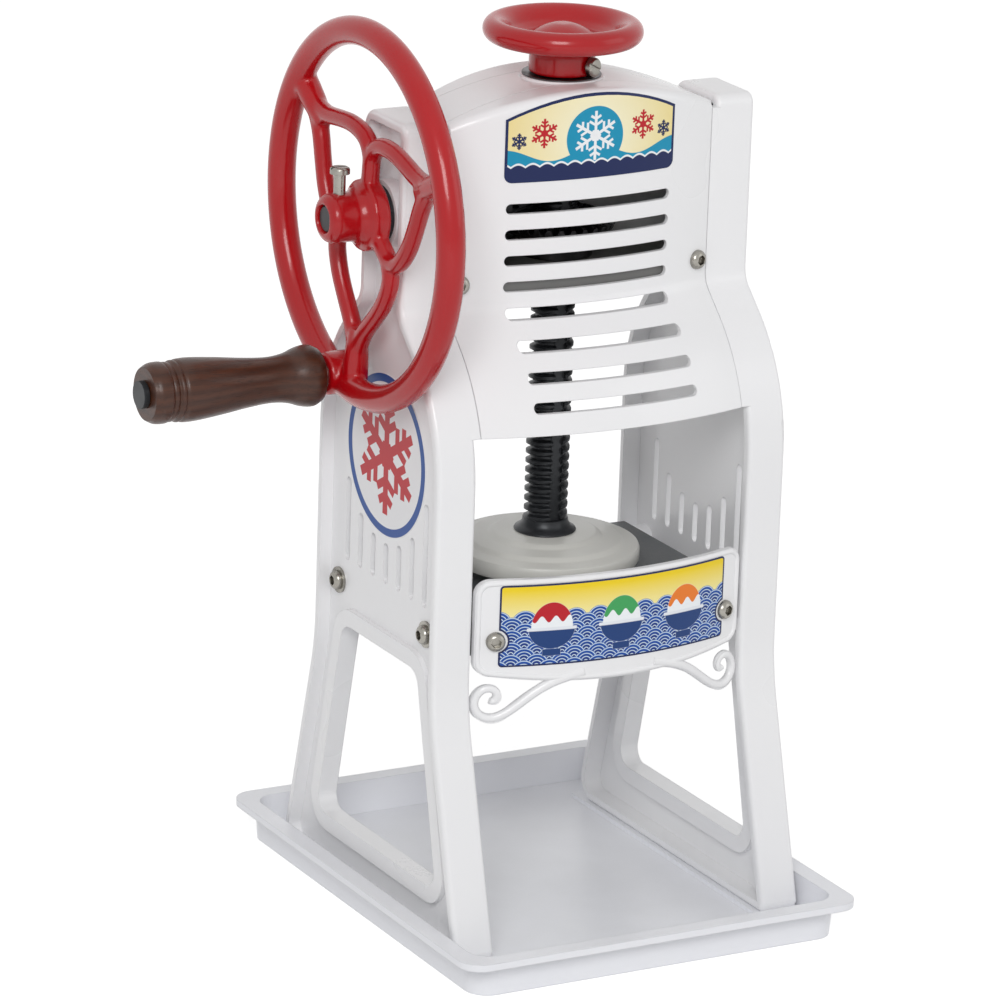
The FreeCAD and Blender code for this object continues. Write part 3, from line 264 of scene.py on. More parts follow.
# %% Helpers for finishes
def new_material(name):
    """An empty material: its tree, its shader and the place on the surface."""
    made = bpy.data.materials.new(name)
    made.use_nodes = True
    tree = made.node_tree
    place = add(tree, "ShaderNodeTexCoord").outputs["Object"]
    return made, tree, tree.nodes["Principled BSDF"], place


def bumped(tree, shader, height, radius):
    """Feeds the shader's normal with a height in millimetres over softened edges."""
    edges = use(tree, soft_edge, {"Radius": radius * MM})["Normal"]
    bump = add(tree, "ShaderNodeBump", None, {"Height": height, "Distance": MM, "Normal": edges})
    plug(tree, shader.inputs["Normal"], bump.outputs["Normal"])


def painted(name, colour, shade, roughness, peel=0.01, wave=0.04, wear=0.3, worn=None, dust=0.2, coat=0.0,
            edge=0.6, shine=0.5):
    """Paint or enamel on a casting, with patches, edge wear and a little dust."""
    made, tree, shader, place = new_material(name)
    skin = use(tree, casting_skin, {"Vector": place, "Peel": peel, "Wave": wave})
    rubbed = use(tree, edge_wear, {"Vector": place, "Amount": wear})["Mask"]
    dusty = use(tree, settled_dust, {"Vector": place, "Amount": dust})["Mask"]
    base = mix(tree, skin["Patches"], colour, shade)
    base = mix(tree, rubbed, base, worn or colour)
    base = mix(tree, dusty, base, paint(176, 172, 164))
    plug(tree, shader.inputs["Base Color"], base)
    dull = Wire(tree, skin["Patches"]) * 0.05 + Wire(tree, dusty) * 0.3 + Wire(tree, rubbed) * 0.15
    plug(tree, shader.inputs["Roughness"], dull + roughness)
    shader.inputs["Specular IOR Level"].default_value = shine
    shader.inputs["Coat Weight"].default_value = coat
    shader.inputs["Coat Roughness"].default_value = 0.08
    bumped(tree, shader, skin["Height"], edge)
    return made


def dress(slot, made):
    """Puts a finish on every CAD node of one material slot."""
    names = [part["node"] for part in frame["record"]["subparts"] if part["material_slot"] == slot]
    for name in names:
        for place in frame["nodes"][name].material_slots:
            place.material = made
    print(slot, "is on", ", ".join(names))
    return made


# %% [markdown]
# ## White enamel, grey paint and the plastic tray
#
# The frames, covers, top bridge and apron are sprayed with a hard, cool white enamel, glossy but
# with a soft peel. The press plate has a warm light grey, and the blade table a dark one. The lower
# bridge inside is grey, and that grey is mostly painted shade, for the shade that the parts inside
# stand in. The tray is moulded plastic, smoother than any paint, with a faint haze of scratches.
# The paints lie over metal, so none of them is metallic.

# %% The painted castings
white_enamel = dress(
    "white_enamel",
    painted("White enamel", paint(242, 242, 243), paint(239, 239, 241), 0.26, coat=0.2, wear=0.2,
            worn=paint(222, 221, 218), dust=0.06),
)
warm_grey = dress("plate_grey", painted("Warm grey enamel", paint(222, 221, 215), paint(214, 213, 207), 0.36,
                                        wear=0.5, worn=paint(168, 166, 160), dust=0.1, coat=0.15))
dress("table_grey", painted("Dark grey enamel", paint(88, 91, 94), paint(76, 80, 83), 0.42, wear=0.6,
                            worn=paint(142, 142, 140), dust=0.2))
# This grey is mostly painted shade. It stands in for the shade on the parts inside, not for a grey paint. Its
# patches, wear and dust are real.
dress("grey_casting", painted("Grey painted shade", paint(112, 112, 110), paint(98, 98, 97), 0.5, peel=0.03,
                              wear=0.5, worn=paint(150, 150, 148), dust=0.4))

# %% The tray's plastic
tray_plastic, tree, shader, place = new_material("Moulded plastic")
stretch = {"Vector": place, "Rotation": (0, 0, 0.5), "Scale": (60, 1400, 60)}
scratches = add(tree, "ShaderNodeMapping", None, stretch).outputs["Vector"]
marks = noise(tree, scratches, 1.0).ramp(0.55, 0.8)
dusty = use(tree, settled_dust, {"Vector": place, "Amount": 0.08})["Mask"]
skin = use(tree, casting_skin, {"Vector": place, "Peel": 0.002, "Wave": 0.05})
body = mix(tree, skin["Patches"], paint(243, 244, 248), paint(240, 241, 246))
plug(tree, shader.inputs["Base Color"], mix(tree, dusty, body, paint(180, 178, 172)))
plug(tree, shader.inputs["Roughness"], marks * 0.12 + Wire(tree, dusty) * 0.2 + 0.3)
bumped(tree, shader, Wire(tree, skin["Height"]) + marks * 0.001, 0.8)
dress("white_plastic", tray_plastic)

# %% [markdown]
# ## Red enamel
#
# The two wheels are dipped, so their enamel is thicker: it is glossier, its peel is wider, and it
# draws thin on edges, where the red turns darker over the iron. A thin clear coat over the colour
# gives the wet shine that one layer can't.

# %% The wheels' enamel
red_enamel = dress(
    "red_enamel",
    painted("Red enamel", paint(182, 8, 18), paint(168, 6, 16), 0.22, peel=0.014, wave=0.08, wear=0.3,
            worn=paint(120, 8, 14), dust=0.04, coat=0.3, edge=0.9, shine=0.3),
)

# %% [markdown]
# ## Turned and plated metal
#
# Screws, washers and the grip's nut are nickel plated. The shaft, screw and bushes are blackened, the
# gears are oiled steel, and the nut that the screw runs in is bronze. The outer bush's black is partly
# painted shade: the bush fills a dark band of shade beside the crank's hub. All were cut on a lathe,
# which leaves fine rings, and a soft noise stands for them where the piece is small. A metal's colour
# is its reflection, so these shaders are metallic, and their detail is mostly in the roughness.

# %% Group: handled metal
handled_metal, took, gave = new_group(
    "Handled metal",
    [("Vector", "Vector", None), ("Grain", "Float", 900.0), ("Stain", "Float", 0.3)],
    [("Stains", "Float"), ("Lines", "Float")],
)
smears = noise(handled_metal, took["Vector"], 90.0, 5.0).ramp(0.4, 0.7)
plug(handled_metal, gave["Stains"], smears * took["Stain"])
plug(handled_metal, gave["Lines"], noise(handled_metal, took["Vector"], took["Grain"]))
LATHE_LINES = 0.004  # how deep the lathe's rings are, in millimetres


def metal(name, colour, stain, roughness, metallic=1.0, stains=0.3):
    """A turned or plated metal with smears in its shine."""
    made, tree, shader, place = new_material(name)
    marks = use(tree, handled_metal, {"Vector": place, "Stain": stains})
    rubbed = use(tree, edge_wear, {"Vector": place, "Amount": 0.6})["Mask"]
    base = mix(tree, marks["Stains"], colour, stain)
    plug(tree, shader.inputs["Base Color"], mix(tree, rubbed, base, tuple(min(1, c * 1.5) for c in colour)))
    shader.inputs["Metallic"].default_value = metallic
    plug(tree, shader.inputs["Roughness"], Wire(tree, marks["Stains"]) * 0.25 + roughness)
    bumped(tree, shader, Wire(tree, marks["Lines"]) * LATHE_LINES, 0.4)
    return made


nickel = dress("nickel", metal("Nickel plate", paint(158, 155, 148), paint(104, 101, 95), 0.24))
# On the outer bush of the crank's shaft, this black is partly painted shade. It stands in for a dark band of
# shade beside the hub.
black_steel = dress("black_steel", metal("Blackened steel", paint(46, 48, 51), paint(30, 31, 33), 0.34, 0.45))
dress("gear_steel", metal("Oiled steel", paint(92, 92, 94), paint(52, 50, 48), 0.3, stains=0.7))
dress("blade_steel", metal("Ground steel", paint(190, 191, 194), paint(150, 150, 150), 0.22))
dress("bronze", metal("Bronze", paint(176, 138, 84), paint(110, 78, 44), 0.3, stains=0.6))
for place in frame["nodes"]["grip_bolt"].material_slots:
    place.material = black_steel

# %% [markdown]
# ## The press screw
#
# The long screw has a coarse trapezoid thread and a smooth keyway along its front, in which the gear's
# key slides. The CAD solid is a plain bar, as a thread would slow every check. A Screw modifier could
# turn a profile along it, but it can't leave a keyway open. So the mesh is built ring by ring: each
# ring's radius follows the helix, and where the keyway is, the ring dips to a flat floor.

# %% Build the thread
SCREW_AXIS = 7.0
PITCH = 5.0
CREST, ROOT = 11.2, 9.0
KEYWAY_HALF, KEYWAY_FLOOR = 2.8, 8.8
THREAD_LOW, THREAD_HIGH = 187.6, 429.5


def thread_radius(angle, height):
    """The helix's radius: crest, flank, root, flank, each a share of one turn."""
    share = (height / PITCH - angle / math.tau) % 1
    steps = [(0, 0), (0.2, 0), (0.38, 1), (0.66, 1), (0.84, 0), (1, 0)]
    for (start, low), (end, high) in zip(steps, steps[1:]):
        if share <= end:
            depth = low + (high - low) * (share - start) / (end - start)
            break
    run_out = min(1, (height - THREAD_LOW) / 4, (THREAD_HIGH - height) / 4)
    return CREST - (CREST - ROOT) * depth * max(0, run_out)


def thread_ring(height, around=72):
    """One ring of the screw, its keyway at the front. Front is -Y."""
    edge = math.asin(KEYWAY_HALF / CREST)
    points = []
    for k in range(around):
        angle = edge + (math.tau - 2 * edge) * k / (around - 1)
        radius = thread_radius(angle, height)
        points.append((radius * math.sin(angle), -radius * math.cos(angle)))
    points[0] = (KEYWAY_HALF, points[0][1])
    points[-1] = (-KEYWAY_HALF, points[-1][1])
    return points + [(-KEYWAY_HALF, -KEYWAY_FLOOR), (KEYWAY_HALF, -KEYWAY_FLOOR)]


def screw_ring(height, share=1.0):
    """One ring in its place. The screw's two ends, which sit in other pieces, are thinner by a share."""
    return [(x * share, y * share + SCREW_AXIS, height) for x, y in thread_ring(height)]


def bridge(mesh, rings, closed=False):
    """Faces between rings of points. A closed row of rings is a loop, and an open row gets caps."""
    made = [[mesh.verts.new(Vector(point) * MM) for point in ring] for ring in rings]
    for k in range(0 if closed else 1, len(made)):
        low, high = made[k - 1], made[k]
        for j in range(len(low)):
            mesh.faces.new((low[j - 1], low[j], high[j], high[j - 1]))
    if not closed:
        mesh.faces.new(made[0][::-1])
        mesh.faces.new(made[-1])


def placed(name, data, body_name):
    """An object that shows some data and rides on a body. Its finish comes with the data."""
    piece = bpy.data.objects.new(name, data)
    bpy.context.scene.collection.objects.link(piece)
    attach(piece, body_name)
    return piece


def finished(name, mesh, body_name, materials, crease=35):
    """Turns a bmesh into a piece: outward normals, smooth shaded with creases, and its materials."""
    bmesh.ops.recalc_face_normals(mesh, faces=mesh.faces)
    data = bpy.data.meshes.new(name)
    for material in materials:
        data.materials.append(material)
    mesh.to_mesh(data)
    mesh.free()
    data.shade_smooth()
    data.set_sharp_from_angle(angle=math.radians(crease))
    print(name, "has", len(data.polygons), "faces and rides on", body_name)
    return placed(name, data, body_name)


def skinned(name, rings, body_name, material):
    """A piece through one row of rings."""
    mesh = bmesh.new()
    bridge(mesh, rings)
    return finished(name, mesh, body_name, [material])


SHANK_SHARE, PLATE_SEAT, NECK_START = 0.7, 185.5, 431.4
STEPS_PER_TURN = 9
screw_low, screw_high = [corner.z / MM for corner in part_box("spindle")]
count = int((THREAD_HIGH - THREAD_LOW) / PITCH * STEPS_PER_TURN)
levels = [THREAD_LOW + (THREAD_HIGH - THREAD_LOW) * k / count for k in range(count + 1)]
rings = [screw_ring(z, SHANK_SHARE) for z in (screw_low, PLATE_SEAT)]
rings += [screw_ring(z) for z in [PLATE_SEAT] + levels + [NECK_START]]
rings += [screw_ring(z, SHANK_SHARE) for z in (NECK_START, screw_high)]
threaded_screw = skinned("threaded_screw", rings, "press_screw", black_steel)
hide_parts("spindle")

# %% [markdown]
# ## The press plate and its collar
#
# The plate under the screw is a turned casting: a thick rim, two low steps and a raised middle, on
# which a flared black collar holds the screw. Round things come from a profile turned about an axis.
# Six short ribs below bite into the ice.

# %% Turn the plate and the collar
def turned_rings(profile):
    """Rings about the screw's axis, from (radius, height) pairs."""
    turns = [math.tau * k / 96 for k in range(96)]
    return [[(r * math.cos(t), SCREW_AXIS + r * math.sin(t), z) for t in turns] for r, z in profile]


plate_profile = [
    (1, 176.6), (46.6, 176.6), (48.2, 177.2), (48.9, 178.6), (48.9, 183.6), (48.2, 185.2), (46.4, 186),
    (42, 186.2), (40.6, 186.8), (39.6, 188.2), (38, 188.8), (30, 189.2), (28.6, 189.8), (27.4, 191),
    (25.6, 191.6), (1, 191.8),
]
turned_plate = skinned("turned_plate", turned_rings(plate_profile), "press_screw", warm_grey)
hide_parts("press_plate")
collar_profile = [
    (1, 191.6), (15.4, 191.6), (16, 192.2), (15.6, 193), (13.4, 194.2), (12, 196.2), (11.6, 198.4),
    (11, 198.8), (1, 198.8),
]
rings = turned_rings(collar_profile)
turned_collar = skinned("turned_collar", rings, "press_screw", black_steel)
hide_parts("spindle_collar")

mesh = bmesh.new()
for k in range(6):
    spin = Matrix.Rotation(math.tau * k / 6, 3, "Z")
    foot = [(31, -1.5), (41, -1.5), (41, 1.5), (31, 1.5)]
    tip = [(33, -0.6), (39, -0.6), (39, 0.6), (33, 0.6)]
    rings = [[spin @ Vector((x, y, z)) for x, y in ring] for ring, z in ((foot, 177), (tip, 173))]
    bridge(mesh, [[spot + Vector((0, SCREW_AXIS, 0)) for spot in ring] for ring in rings])
finished("plate_ribs", mesh, "press_screw", [warm_grey])

# %% [markdown]
# ## Castings without a sharp corner
#
# Iron poured in sand has round corners everywhere, inside ones most of all, and two dips of enamel
# round them further. Filleting each edge of the spokes by hand would take long. Instead a copy of the
# solid is rebuilt as an even skin of small squares, and that skin is relaxed for a few steps. Where
# the surface is flat nothing moves, and every corner becomes round.

# %% Soften the small wheel
def softened(name, data, node, body_name, voxel, steps):
    """A red mesh rebuilt as an even skin whose corners are relaxed. It takes the place of a CAD node."""
    piece = placed(name, data, body_name)
    data.materials.clear()
    data.materials.append(red_enamel)
    skin = piece.modifiers.new("even skin", "REMESH")
    skin.mode, skin.voxel_size = "VOXEL", voxel * MM
    skin.use_smooth_shade = True
    relax = piece.modifiers.new("round corners", "SMOOTH")
    relax.factor, relax.iterations = 0.5, steps
    made = bpy.data.meshes.new_from_object(piece.evaluated_get(bpy.context.evaluated_depsgraph_get()))
    piece.modifiers.clear()
    piece.data = made
    made.shade_smooth()
    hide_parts(node)
    print(name, "has", len(made.polygons), "faces")


softened("cast_handwheel", frame["nodes"]["handwheel"].data.copy(), "handwheel", "press_screw", 0.8, 5)

# %% [markdown]
# The crank's wheel has three wishbone spokes. Each is a loop of two round arms that join into one stem
# at the rim, and between two loops a short bar goes to the hub. They are drawn as tubes along lines in
# the wheel's plane. The even skin then makes one casting of them, with a soft corner where they meet.

# %% Cast the crank's wheel from tubes
WHEEL_AXIS, RIM_PLANE, RIM_RADIUS, RIM_THICK = (7.0, 367.5), -109.0, 91.5, 7.3
SPIDER_PLANE, SPOKE_TURN = -107.1, 36.0


def eased(points, times=3):
    """A line with its corners cut off a few times, so that it runs smoothly."""
    for _ in range(times):
        cut = [points[0]]
        for start, end in zip(points, points[1:]):
            cut += [tuple(a + (b - a) * share for a, b in zip(start, end)) for share in (0.25, 0.75)]
        points = cut + [points[-1]]
    return points


def tube(mesh, line, plane, around=20, closed=False):
    """A round tube through (along y, along z, radius) points from the wheel's axis."""
    rings = []
    for k, (y, z, radius) in enumerate(line):
        last = len(line) - 1
        before = line[k - 1] if closed else line[max(k - 1, 0)]
        after = line[(k + 1) % len(line)] if closed else line[min(k + 1, last)]
        way = Vector((0, after[0] - before[0], after[1] - before[1])).normalized()
        side = way.cross(Vector((1, 0, 0)))
        middle = Vector((plane, WHEEL_AXIS[0] + y, WHEEL_AXIS[1] + z))
        turns = [math.tau * j / around for j in range(around)]
        depth = Vector((radius, 0, 0))
        rings.append([middle + depth * math.cos(t) + side * radius * math.sin(t) for t in turns])
    bridge(mesh, rings, closed)


def turned_ring(axis, x, radius):
    """A ring round a line along X."""
    turns = [math.tau * k / 64 for k in range(64)]
    return [(x, axis[0] + radius * math.cos(t), axis[1] + radius * math.sin(t)) for t in turns]


ARM = [(15, 26, 4.7), (24, 30.5, 4.7), (38, 25, 4.6), (50, 15.5, 4.5), (61, 5.5, 4.7), (72, 1, 4.7)]
OTHER_ARM = [(along, -aside, radius) for along, aside, radius in ARM]
STEM = [(60, 0, 4.7), (70, 0, 6.0), (80, 0, 6.6), (92, 0, 6.8)]
NECK_TURN, NECK_REACH = math.radians(60), (10, 18, 26, 33)
NECK = [(reach * math.cos(NECK_TURN), reach * math.sin(NECK_TURN), 4.7) for reach in NECK_REACH]
HUB = [
    (-132, 7.0), (-132, 8.6), (-130.6, 11.4), (-128, 12.5), (-117, 12.5), (-113, 14.5), (-111, 18),
    (-103.5, 18.4), (-102.6, 17.4), (-102.6, 7.0),
]
BOSS = [(-118.2, 4.0), (-118.2, 9.6), (-116.8, 11), (-103.4, 11), (-101.9, 9.6), (-101.9, 4.0)]
PIN_TURN, PIN_CIRCLE = math.radians(-75), 90.0

mesh = bmesh.new()
turns = [math.tau * k / 120 for k in range(120)]
rim_line = [(RIM_RADIUS * math.cos(t), RIM_RADIUS * math.sin(t), RIM_THICK) for t in turns]
tube(mesh, rim_line, RIM_PLANE, 32, closed=True)
for k in range(3):
    cos, sin = [f(math.radians(SPOKE_TURN + 120 * k)) for f in (math.cos, math.sin)]
    for line in (ARM, OTHER_ARM, STEM, NECK):
        tube(mesh, eased([(a * cos - b * sin, a * sin + b * cos, r) for a, b, r in line]), SPIDER_PLANE)
pin_axis = (WHEEL_AXIS[0] + PIN_CIRCLE * math.cos(PIN_TURN), WHEEL_AXIS[1] + PIN_CIRCLE * math.sin(PIN_TURN))
for axis, profile in ((WHEEL_AXIS, HUB), (pin_axis, BOSS)):
    bridge(mesh, [turned_ring(axis, x, radius) for x, radius in profile], closed=True)
bmesh.ops.recalc_face_normals(mesh, faces=mesh.faces)
data = bpy.data.meshes.new("cast_crank_wheel")
mesh.to_mesh(data)
mesh.free()
softened("cast_crank_wheel", data, "crank_wheel", "crank", 1.0, 9)

# %% [markdown]
# ## Screw heads
#
# Round heads with a hexagon socket hold the covers, the apron and the table. A head is turned like the
# plate, but its last rings follow a hexagon and go down. The socket is dark inside because little
# light reaches it, so it needs no colour of its own.

# %% Make the screws
def hexagon_reach(turn, across):
    """How far a hexagon reaches from its middle in one direction."""
    return across / math.cos((turn + math.pi / 6) % (math.pi / 3) - math.pi / 6)


HEAD_RADIUS, HEAD_HEIGHT, SHANK_RADIUS = 5.0, 3.4, 2.4
DOME = [(1, 0), (1, 0.22), (0.97, 0.45), (0.86, 0.72), (0.68, 0.92), (0.56, 1)]
SOCKET = [(0.48, 1), (0.46, 0.912), (0.45, 0.25)]


def socket_screws(name, places, replaced, reach=9.0):
    """Screws with domed heads. Each place is a point under the head and the way that it screws in."""
    turns = [math.tau * k / 48 for k in range(48)]
    dome, socket = [[(HEAD_RADIUS * r, HEAD_HEIGHT * h) for r, h in shares] for shares in (DOME, SOCKET)]
    mesh = bmesh.new()
    for place, way in places:
        out = -Vector(way).normalized()
        side = out.orthogonal().normalized()
        up = out.cross(side)
        rings = [[step] * 48 for step in [(SHANK_RADIUS, -reach), (SHANK_RADIUS, 0)] + dome]
        rings += [[(hexagon_reach(t, r), h) for t in turns] for r, h in socket]
        bridge(mesh, [[Vector(place) + side * r * math.cos(t) + up * r * math.sin(t) + out * h
                       for t, (r, h) in zip(turns, ring)] for ring in rings])
    piece = finished(name, mesh, "stand", [nickel], crease=30)
    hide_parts(replaced)


def bow_places(axis, bow, out, height, facing):
    """Where two screws sit on a bowed plate, and which way they go in."""
    depth = axis + facing * math.sqrt(bow * bow - out * out)
    return [((side * out, depth, height), (-side * out / bow, (axis - depth) / bow, 0)) for side in (-1, 1)]


def middle_height(node):
    """The height of a node's middle, in millimetres."""
    low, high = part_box(node)
    return (low.z + high.z) / 2 / MM


COVER_BOW, APRON_BOW, REAR_BOW = (190.5, 220.0), (133.0, 208.0), (-177.3, 220.0)
COVER_SCREW_OUT, APRON_SCREW_OUT = 68.0, 66.0
TABLE_BOLT_SEAT, TABLE_BOLT_STEP, TABLE_BOLT_HEIGHT = 93.7, 47.75, 161.6
for name, bow, out, replaced, facing in (
    ("cover_heads", COVER_BOW, COVER_SCREW_OUT, "cover_screws", -1),
    ("rear_heads", REAR_BOW, COVER_SCREW_OUT, "rear_cover_screws", 1),
    ("apron_heads", APRON_BOW, APRON_SCREW_OUT, "apron_screws", -1),
):
    socket_screws(name, bow_places(*bow, out, middle_height(replaced), facing), replaced)
table_places = [
    ((side * TABLE_BOLT_SEAT, SCREW_AXIS + step, TABLE_BOLT_HEIGHT), (-side, 0, 0))
    for side in (-1, 1) for step in (-TABLE_BOLT_STEP, TABLE_BOLT_STEP)
]
socket_screws("table_heads", table_places, "table_bolts", reach=12.0)

# %% [markdown]
# ## Turned wood
#
# The grip is turned from a brown hardwood and lacquered. Grain runs along the grip, as the blank is
# cut with the tree, and its year rings show as long flames where the lathe has cut through them.
# Pores are short dark lines in the same direction. A wave texture warped by noise gives the
# flames, and a noise stretched twenty times along the grip gives the pores.

# %% Group: turned wood
turned_wood, took, gave = new_group(
    "Turned wood",
    [("Vector", "Vector", None)],
    [("Colour", "Color"), ("Height", "Float"), ("Open grain", "Float")],
)
along = add(turned_wood, "ShaderNodeMapping", None, {"Vector": took["Vector"], "Scale": (12, 90, 90)})
rings_of_years = add(turned_wood, "ShaderNodeTexWave", {"wave_type": "RINGS", "rings_direction": "Y"},
                     {"Vector": along.outputs["Vector"], "Scale": 0.7, "Distortion": 9.0, "Detail": 4.0,
                      "Detail Scale": 0.6})
streaks = add(turned_wood, "ShaderNodeMapping", None, {"Vector": took["Vector"], "Scale": (90, 1900, 1900)})
flames = Wire(turned_wood, rings_of_years.outputs["Fac"])
open_grain = noise(turned_wood, streaks.outputs["Vector"], 1.0, 3.0).ramp(0.52, 0.72)
warm = mix(turned_wood, flames, paint(62, 32, 18), paint(76, 41, 24))
plug(turned_wood, gave["Colour"], mix(turned_wood, open_grain * 0.6, warm, paint(36, 18, 10)))
plug(turned_wood, gave["Height"], open_grain * -0.03 + flames * 0.01)
plug(turned_wood, gave["Open grain"], open_grain)

dark_wood, tree, shader, place = new_material("Lacquered wood")
wood = use(tree, turned_wood, {"Vector": place})
rubbed = use(tree, edge_wear, {"Vector": place, "Amount": 0.5})["Mask"]
plug(tree, shader.inputs["Base Color"], mix(tree, rubbed, wood["Colour"], paint(104, 62, 38)))
plug(tree, shader.inputs["Roughness"], Wire(tree, wood["Open grain"]) * 0.2 + 0.32)
shader.inputs["Specular IOR Level"].default_value = 0.35
shader.inputs["Coat Weight"].default_value = 0.1
shader.inputs["Coat Roughness"].default_value = 0.16
bumped(tree, shader, wood["Height"], 0.6)
dress("dark_wood", dark_wood)

# %% [markdown]
# ## The grip
#
# A lathe makes the grip, and a revolved profile makes it here. The profile is a few radii along its
# length, joined by a smooth curve, with three shallow rings cut near the outer end. A spline object
# with a Screw modifier would do as well. Rings of points are simpler to groove.

# %% Turn the grip
GRIP_AXIS = (30.29, 280.57)
GRIP_START, GRIP_LENGTH = 122.0, 94.0
GRIP_SHAPE = [(0, 13.5), (0.035, 15.2), (0.09, 15.5), (0.14, 14.9), (0.16, 15.6), (0.25, 16), (0.42, 14.5),
              (0.58, 12.6), (0.72, 11.6), (0.82, 12.6), (0.9, 15), (0.96, 15.6), (1, 14)]
GROOVES = [0.105, 0.14, 0.175]


def smooth_value(points, at):
    """The value of a smooth curve through points, at one place: each span is eased by its neighbours."""
    k = max(i for i in range(len(points) - 1) if points[i][0] <= at)
    before, start, end, after = (points[min(max(i, 0), len(points) - 1)] for i in range(k - 1, k + 3))
    span = end[0] - start[0]
    share = (at - start[0]) / span
    slope_in = (end[1] - before[1]) / (end[0] - before[0]) * span
    slope_out = (after[1] - start[1]) / (after[0] - start[0]) * span
    square, cube = share * share, share ** 3
    return ((2 * cube - 3 * square + 1) * start[1] + (cube - 2 * square + share) * slope_in
            + (3 * square - 2 * cube) * end[1] + (cube - square) * slope_out)


def grip_radius(share):
    groove = sum(math.exp(-((share - at) * GRIP_LENGTH / 0.7) ** 2) for at in GROOVES)
    return smooth_value(GRIP_SHAPE, min(share, 0.9999)) - 0.7 * groove


GRIP_END, GRIP_STEPS = -GRIP_START - GRIP_LENGTH, 160
grip_rings = [turned_ring(GRIP_AXIS, GRIP_END, radius) for radius in (7.4, 12.4)]
for k in range(GRIP_STEPS + 1):
    share = k / GRIP_STEPS
    grip_rings.append(turned_ring(GRIP_AXIS, GRIP_END + GRIP_LENGTH * share, grip_radius(share)))
grip_rings.append(turned_ring(GRIP_AXIS, -GRIP_START, 8))
turned_grip = skinned("turned_grip", grip_rings, "grip", dark_wood)
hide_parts("grip")

# %% [markdown]
# ## Snow crystals and waves
#
# The machine carries printed labels. Their pictures here are plain ones of ice and water. They
# are drawn by the shader, from the millimetres across and up the label, so that they stay sharp at
# any size. An image would blur. A crystal has six arms that are all alike, so the plane is folded
# onto one arm and only that arm is drawn.

# %% Group: snow crystal
snow_crystal, took, gave = new_group(
    "Snow crystal",
    [("Across", "Float", 0.0), ("Up", "Float", 0.0), ("Reach", "Float", 10.0), ("Stroke", "Float", 0.8)],
    [("Mask", "Float")],
)
across, up, reach, stroke = [Wire(snow_crystal, took[n]) for n in ("Across", "Up", "Reach", "Stroke")]
sector = math.pi / 3
turn = up.math("ARCTAN2", across) + (math.tau + sector)
off = (turn.math("MODULO", sector) - sector / 2).plain()
away = length(across, up)
along, beside = away * off.math("COSINE"), away * off.math("SINE")
arm = beside.below(stroke) * along.below(reach)
crystal = arm.high(along.below(reach * 0.22))
for share, twig in ((0.42, 0.34), (0.68, 0.26)):
    out = along - reach * share
    run = out * 0.5 + beside * 0.866
    side = (out * 0.866 - beside * 0.5).plain()
    crystal = crystal.high(side.below(stroke * 0.85) * run.below(reach * twig) * (run * -1).below(0.0))
plug(snow_crystal, gave["Mask"], crystal)
print("group:", snow_crystal.name)

# %% [markdown]
# The water on the apron's label is the old pattern of overlapping arcs. Circles stand in rows, each
# row in front of the one above, and rings inside them give the stripes. For each point the shader
# looks at the three rows that could cover it, and keeps the lowest one.

# %% Group: overlapping arcs
arc_waves, took, gave = new_group(
    "Overlapping arcs",
    [("Across", "Float", 0.0), ("Up", "Float", 0.0), ("Width", "Float", 12.0), ("Rows", "Float", 4.0)],
    [("Ring", "Float"), ("Water", "Float")],
)
across, up, wide, rows = [Wire(arc_waves, took[n]) for n in ("Across", "Up", "Width", "Rows")]
radius = wide * 0.5
step = wide * 0.25
first = (up / step).math("FLOOR") - 1.0
ring = water = None
for k in (2, 1, 0):
    row = first + float(k)
    shift = row.math("PINGPONG", 1.0) * radius
    cell = (across + shift + wide * 100.0).math("MODULO", wide) - radius
    away = length(cell, up - row * step)
    inside = away.below(radius, 0.02) * row.below(rows + 0.5, 0.1)
    if ring is None:
        ring, water = away / radius, inside
    else:
        ring = ring * (inside * -1.0 + 1.0) + away / radius * inside
        water = water.high(inside)
plug(arc_waves, gave["Ring"], ring)
plug(arc_waves, gave["Water"], water)
print("group:", arc_waves.name)

# %% [markdown]
# A bowl of shaved ice is a half ellipse on a foot, with a mound on it and syrup over the mound. The
# group gives its colour and where it covers the ground, and each bowl on the label has its own syrup.

# %% Group: bowl of ice
ice_bowl, took, gave = new_group(
    "Bowl of ice",
    [("Across", "Float", 0.0), ("Up", "Float", 0.0), ("Syrup", "Color", None)],
    [("Colour", "Color"), ("Mask", "Float")],
)
across, up = Wire(ice_bowl, took["Across"]), Wire(ice_bowl, took["Up"])
bowl = length(across, up * 1.15).below(8.0) * up.below(0.0)
foot = across.plain().below(3.2) * (up + 8.2).plain().below(1.2)
mound = length(across, (up - 0.5) * 0.82).below(7.2) * (up * -1).below(0.0)
drips = (across * 1.3).math("SINE") * 1.1
syrup = mound * (up * -1 + drips).below(-3.4)
rim = across.plain().below(8.6) * up.plain().below(0.55)
colour = mix(ice_bowl, syrup, paint(246, 250, 253), took["Syrup"])
colour = mix(ice_bowl, bowl.high(foot), colour, paint(16, 58, 118))
plug(ice_bowl, gave["Colour"], mix(ice_bowl, rim, colour, paint(236, 240, 246)))
plug(ice_bowl, gave["Mask"], bowl.high(foot).high(mound).high(rim))
print("group:", ice_bowl.name)

# %% [markdown]
# ## Inks
#
# A label is film with ink under a clear varnish. Flat ink has no grain of its own, but it is never
# quite even, and the varnish is a little rippled. One function finishes all the labels' inks: it
# takes the picture's colour and adds the mottle and the shine.

# %% The printed labels' materials
NAVY, TURQUOISE, CREAM = paint(4, 26, 80), paint(8, 146, 184), paint(244, 226, 160)
RED, BLUE, SNOW = paint(190, 16, 34), paint(6, 72, 150), paint(244, 246, 248)


